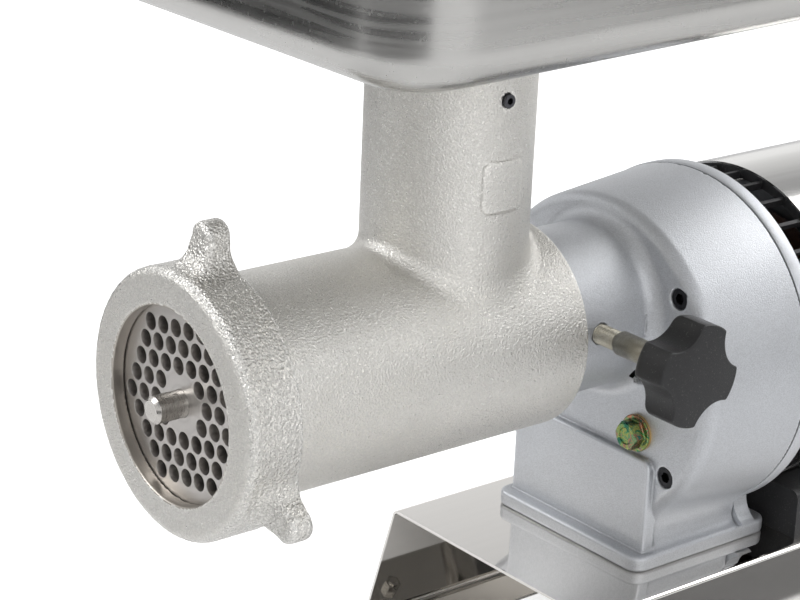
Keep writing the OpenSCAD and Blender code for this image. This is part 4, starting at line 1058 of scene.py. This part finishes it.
class GRINDER_OT_plug(Operator):
    """Forge the oil plug with its chamfered hexagon and washer face"""

    bl_idname = "grinder.plug"
    bl_label = "Oil plug"

    def execute(self, context):
        low, high = (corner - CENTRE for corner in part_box("oil_plug"))
        middle = (low + high) / 2
        flange = (high.z - low.z) / 2
        flats, across_slope, chamfer_slope = 0.0066, math.sqrt(0.75), 1.7
        flange_front, flange_depth = low.y + 0.0064, 0.0014
        dish_radius, dish_depth, shank_radius = 0.0042, 0.0006, 0.00595
        crisp, soft = 0.0003, 0.0006

        def distance(p):
            x, y, z = p.T
            a, b = x - middle.x, z - middle.z
            hexagon = np.maximum(np.abs(b), np.abs(b) * 0.5 + np.abs(a) * across_slope) - flats
            radial = np.hypot(a, b)
            head = np.maximum(hexagon, radial - (y - low.y) * chamfer_slope - flats * 0.97)
            head = rounded(head, slab(y, low.y, flange_front + 0.001), crisp)
            dish = rod(a, b, y, dish_radius, -1.0, low.y + dish_depth, 0.0)
            head = rounded(head, -dish, crisp)
            washer = rod(a, b, y, flange, flange_front, flange_front + flange_depth, 0.0005)
            shank = rod(a, b, y, shank_radius, flange_front, high.y, soft)
            return either(fillet(head, washer, soft), shank)

        cast_piece("plug", "oil_plug", "frame", distance, 0.00035, [FINISHES["zinc_plug"]])
        return {"FINISHED"}


class GRINDER_OT_worm(Operator):
    """Cast the worm with its tapering flight"""

    bl_idname = "grinder.worm"
    bl_label = "Worm"

    def execute(self, context):
        low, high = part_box("worm")
        centre = (low + high) / 2
        tip = (high.x - low.x) / 2
        core, lead, tip_gap, half_width, crest = 0.017, 0.052, 0.0006, 62.0, 3
        sides, steps = 96, 150
        rings = []
        for i in range(steps + 1):
            y = low.y + (high.y - low.y) * i / steps
            turn = 2 * math.pi * (high.y - y) / lead
            ring = []
            for j in range(sides):
                local = 360.0 * j / sides
                lift = max(0.0, 1.0 - (abs(local - 180.0) / half_width) ** crest)
                r = core + (tip - tip_gap - core) * lift
                angle = math.radians(local) - turn
                ring.append((centre.x + r * math.cos(angle), y, AXIS_Z - r * math.sin(angle)))
            rings.append(ring)
        piece = skin("auger_worm", rings, FINISHES["tinned_iron"], closed_ends=True)
        keep_edges(piece, math.radians(40))
        stand_for(piece, "auger", "worm")
        return {"FINISHED"}


class GRINDER_OT_tray(Operator):
    """Draw the feed tray from one sheet, with a rolled rim and the feed hole"""

    bl_idname = "grinder.tray"
    bl_label = "Feed tray"

    def execute(self, context):
        sizes = context.scene.grinder_tray
        low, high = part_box("tray")
        hole = 0.033
        count = 160
        rim_out = sizes.rim + sizes.flare
        x_reach = high.x - rim_out
        y_low, y_high = low.y + rim_out, high.y - rim_out
        mid_y = (y_low + y_high) / 2
        rise = math.tan(sizes.slope)

        def outline(inset):
            """Rounded rectangle moved in from the walls by inset."""
            corner = max(sizes.corner - inset, 0.004)
            half_x = x_reach - inset - corner
            half_y = (y_high - y_low) / 2 - inset - corner
            straights = [2 * half_x, 2 * half_y] * 2
            arc_length = math.pi / 2 * corner
            total = sum(straights) + 4 * arc_length
            points = []
            for k in range(count):
                s = total * k / count
                x, y, heading = -half_x, -half_y - corner, 0.0
                for straight in straights:
                    go = min(s, straight)
                    x += go * math.cos(heading)
                    y += go * math.sin(heading)
                    s -= go
                    if s <= 0:
                        break
                    turn = min(s, arc_length) / corner
                    x += corner * (math.sin(heading + turn) - math.sin(heading))
                    y += corner * (math.cos(heading) - math.cos(heading + turn))
                    heading += turn
                    s -= turn * corner
                    if s <= 0:
                        break
                points.append((x, mid_y + y))
            return points

        def ring(inset, height, level):
            """One loop of the sheet; level says how far it is above the sloping floor."""
            loop = []
            for x, y in outline(inset):
                floor = low.z + (y - low.y) * rise * (1.0 - level)
                loop.append((x, y, floor + height))
            return loop

        def profile(offset):
            """Loops from the floor up the wall; offset moves in by the sheet."""
            r = sizes.edge - offset
            loops = []
            for inset in (0.040, 0.030, 0.024, sizes.edge):
                loops.append(ring(inset, offset, 0.0))
            for step in range(1, 10):
                a = math.pi / 2 * step / 9
                loops.append(ring(sizes.edge - r * math.sin(a), sizes.edge - r * math.cos(a), 0.0))
            wall = high.z - low.z
            for level in (0.25, 0.5, 0.75, 1.0):
                lean = -sizes.flare * level
                height = sizes.edge + (wall - sizes.edge - 0.0016) * level
                loops.append(ring(offset + lean, height, level))
            return loops

        outer, inner = profile(0.0), profile(sizes.sheet)
        wall = high.z - low.z
        rim = []
        bead = (sizes.rim + sizes.sheet) / 2
        for step in range(0, 9):
            a = math.pi * step / 8
            reach = -sizes.flare - sizes.rim + bead - bead * math.cos(a)
            rim.append(ring(reach, wall - 0.00125 + 0.00125 * math.sin(a), 1.0))
        under = [ring(-sizes.flare - sizes.rim + 0.0006, wall - 0.0024, 1.0)]
        start = outer[0]

        def feed_loops(edge_loop, offset):
            """Loops that carry the floor's edge in to the feed hole."""
            loops = []
            for t in (0.0, 0.06, 0.3, 0.6):
                loop = []
                for x, y, _ in edge_loop:
                    angle = math.atan2(y - THROAT_Y, x)
                    hx, hy = hole * math.cos(angle), THROAT_Y + hole * math.sin(angle)
                    px, py = hx + (x - hx) * t, hy + (y - hy) * t
                    loop.append((px, py, low.z + (py - low.y) * rise + offset))
                loops.append(loop)
            return loops

        loops = feed_loops(start, 0.0) + outer[:-1] + under + rim + inner[:-1][::-1]
        loops += feed_loops(start, sizes.sheet)[::-1]
        piece = skin("feed_pan", loops, FINISHES["tray_stainless"], wrapped=True)
        keep_edges(piece, math.radians(55))
        stand_for(piece, "feed_tray", "tray")
        return {"FINISHED"}


class GRINDER_OT_base(Operator):
    """Fold the polished base from sheet, with small bend radii"""

    bl_idname = "grinder.base"
    bl_label = "Base"

    def execute(self, context):
        sizes = context.scene.grinder_sheet
        low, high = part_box("base_cover")
        half = sizes.thickness / 2
        top, bottom = high.z - half, low.z + half
        foot = sizes.top_half + sizes.lean
        corners = [Vector((-foot + sizes.lip, bottom)), Vector((-foot, bottom)),
                   Vector((-sizes.top_half, top)), Vector((sizes.top_half, top)),
                   Vector((foot, bottom)), Vector((foot - sizes.lip, bottom))]
        fold = sizes.fold + half
        path = [corners[0]]
        for before, at, after in zip(corners, corners[1:], corners[2:]):
            into, out = (at - before).normalized(), (after - at).normalized()
            turn = into.angle_signed(out)
            setback = fold * math.tan(abs(turn) / 2)
            start = at - into * setback
            side = 1 if turn < 0 else -1
            pivot = start + Vector((-into.y, into.x)) * fold * side
            for k in range(9):
                spin = Matrix.Rotation(-turn * k / 8, 2)
                path.append(pivot + spin @ (start - pivot))
        path.append(corners[-1])

        def offset(i, reach):
            a, b = path[max(i - 1, 0)], path[min(i + 1, len(path) - 1)]
            along = (b - a).normalized()
            return path[i] + Vector((-along.y, along.x)) * reach

        count = len(path)
        section = [offset(i, half) for i in range(count)]
        section += [offset(i, -half) for i in reversed(range(count))]
        stops = [low.y + (high.y - low.y) * k / 12 for k in range(13)]
        rings = [[(p.x, y, p.y) for p in section] for y in stops]
        piece = skin("folded_base", rings, FINISHES["mirror_stainless"], closed_ends=True)
        keep_edges(piece, math.radians(50))
        stand_for(piece, "frame", "base_cover")
        return {"FINISHED"}


class GRINDER_OT_carried(Operator):
    """Give the carried parts their finishes and soft edges"""

    bl_idname = "grinder.carried"
    bl_label = "Carried parts"

    def execute(self, context):
        special = {"motor_shroud": "shroud_stainless"}
        for node, part in frame["nodes"].items():
            part.data.materials.clear()
            part.data.materials.append(FINISHES[special.get(node, SLOTS[node])])
        edges = {"cutting_plate": 0.0002, "worm_shaft": 0.0003, "motor_flange": 0.0004,
                 "switch_box": 0.0004, "rear_cover": 0.0003, "vent_ring": 0.0002,
                 "rocker_bezel": 0.0002, "rocker_switch": 0.0002, "cable_gland": 0.0003,
                 "housing_screws": 0.0002, "throat_set_screw": 0.0001, "tray_collar": 0.0003}
        for node, width in edges.items():
            part = frame["nodes"][node]
            weld = part.modifiers.new("weld", "WELD")
            weld.merge_threshold = 1e-6
            soft = part.modifiers.new("soft edges", "BEVEL")
            soft.width = width
            soft.segments = 2
            soft.limit_method = "ANGLE"
            soft.angle_limit = math.radians(35)
            soft.harden_normals = False
        return {"FINISHED"}


class GRINDER_OT_studio(Operator):
    """Set the floor, the lights and the camera"""

    bl_idname = "grinder.studio"
    bl_label = "Studio"

    def execute(self, context):
        sizes = context.scene.grinder_studio
        self.lay_floor(sizes)
        self.hang_lights(sizes)
        self.stand_cards(sizes)
        world = bpy.data.worlds.new("studio")
        world.use_nodes = True
        tree = world.node_tree
        tree.nodes.clear()
        place = add(tree, "ShaderNodeTexCoord").outputs["Generated"]
        up = add(tree, "ShaderNodeSeparateXYZ", {0: place}).outputs["Z"]
        height = between(tree, up, 0.20, 0.75)
        sky = mixed(tree, height, (1.0, 1.0, 1.0), (0.20, 0.20, 0.21))
        ground = add(tree, "ShaderNodeBackground", {"Color": sky, "Strength": 1.0})
        add(tree, "ShaderNodeOutputWorld", {"Surface": ground.outputs[0]})
        context.scene.world = world
        camera = bpy.data.cameras.new("camera")
        camera.lens = sizes.lens
        camera.sensor_width = 36.0
        viewer = new_object("camera", camera)
        viewer.location = sizes.camera_place
        viewer.rotation_euler = sizes.camera_turn
        context.scene.camera = viewer
        context.scene.view_settings.view_transform = "Standard"
        return {"FINISHED"}

    def lay_floor(self, sizes):
        """A pale floor under the feet."""
        material, tree, shader = new_finish("floor", roughness=0.6, specular=0.2)
        place = add(tree, "ShaderNodeTexCoord").outputs["Object"]
        tone = noise_of(tree, place, 3.0)
        tint = mixed(tree, tone, shade(sizes.floor, 0.99), sizes.floor)
        tree.links.new(tint, shader["Base Color"])
        shader["Emission Color"].default_value = (1.0, 1.0, 1.0, 1.0)
        straight = add(tree, "ShaderNodeLightPath").outputs["Is Camera Ray"]
        tree.links.new(maths(tree, "MULTIPLY", straight, sizes.glow), shader["Emission Strength"])
        reach = 6.0
        shape = bmesh.new()
        bmesh.ops.create_grid(shape, x_segments=8, y_segments=8, size=reach)
        mesh = bpy.data.meshes.new("floor")
        shape.to_mesh(mesh)
        shape.free()
        mesh.materials.append(material)
        new_object("floor", mesh)

    def hang_lights(self, sizes):
        """Three large soft lights, all aimed at the machine."""
        target = Vector((0.0, 0.0, AXIS_Z))
        lights = (
            ("key", (-0.9, -1.5, 1.9), 1.3, sizes.key),
            ("fill", (1.9, -0.4, 1.3), 1.2, sizes.fill),
            ("back", (0.4, 1.7, 1.9), 1.6, sizes.back),
        )
        for name, place, size, watts in lights:
            lamp = bpy.data.lights.new(name, "AREA")
            lamp.shape = "SQUARE"
            lamp.size = size
            lamp.energy = watts
            made = new_object(name, lamp)
            made.location = place
            made.rotation_euler = (target - Vector(place)).to_track_quat("-Z", "Y").to_euler()
            made.visible_camera = False

    def stand_cards(self, sizes):
        """Dark upright cards that only reflections see, each at an angle round the machine."""
        cards = (
            ("card_front", -143.0, 0.95, 0.95, 0.001, 0.28, sizes.card),
            ("card_camera", -68.0, 0.95, 0.62, 0.001, 0.24, sizes.card),
            ("card_right", 42.0, 1.10, 0.55, 0.03, 0.40, sizes.grey_card),
        )
        for name, around, away, half_width, low, high, tone in cards:
            material, tree, shader = new_finish(name, roughness=0.9, specular=0.1)
            marks = use(tree, "Handling Marks", Size=0.5)
            tint = mixed(tree, marks["Smudge"], tone, shade(tone, 1.3))
            tree.links.new(tint, shader["Base Color"])
            angle = math.radians(around)
            out = Vector((math.cos(angle), math.sin(angle), 0.0))
            along = Vector((-out.y, out.x, 0.0)) * half_width
            mesh = bpy.data.meshes.new(name)
            corners = [out * away + side * along + Vector((0.0, 0.0, z))
                       for side, z in ((-1, low), (1, low), (1, high), (-1, high))]
            mesh.from_pydata(corners, [], [(0, 1, 2, 3)])
            mesh.materials.append(material)
            made = new_object(name, mesh)
            made.visible_camera = False
            made.visible_diffuse = False
            made.visible_shadow = False


ORDER = ("finishes", "head", "ring", "gearbox", "knob", "stud", "plug", "worm", "tray", "base",
         "carried", "studio")


class GRINDER_PT_sidebar(Panel):
    """Lists the sizes and the makers of the grinder"""

    bl_idname = "GRINDER_PT_sidebar"
    bl_label = "Meat Grinder"
    bl_space_type = "VIEW_3D"
    bl_region_type = "UI"
    bl_category = "Grinder"

    def draw(self, context):
        for name in ORDER:
            self.layout.operator("grinder." + name)
        for key, settings in SETTINGS.items():
            column = self.layout.column(align=True)
            column.label(text=settings.__name__)
            for size in settings.__annotations__:
                column.prop(getattr(context.scene, key), size)


CLASSES = (
    *SETTINGS.values(),
    GRINDER_OT_finishes,
    GRINDER_OT_head,
    GRINDER_OT_ring,
    GRINDER_OT_gearbox,
    GRINDER_OT_knob,
    GRINDER_OT_stud,
    GRINDER_OT_plug,
    GRINDER_OT_worm,
    GRINDER_OT_tray,
    GRINDER_OT_base,
    GRINDER_OT_carried,
    GRINDER_OT_studio,
    GRINDER_PT_sidebar,
)


def register():
    for item in CLASSES:
        bpy.utils.register_class(item)
    for key, settings in SETTINGS.items():
        setattr(bpy.types.Scene, key, PointerProperty(type=settings))


def unregister():
    for key in SETTINGS:
        delattr(bpy.types.Scene, key)
    for item in reversed(CLASSES):
        bpy.utils.unregister_class(item)


def main():
    register()
    for name in ORDER:
        getattr(bpy.ops.grinder, name)()


if __name__ == "__main__":
    main()
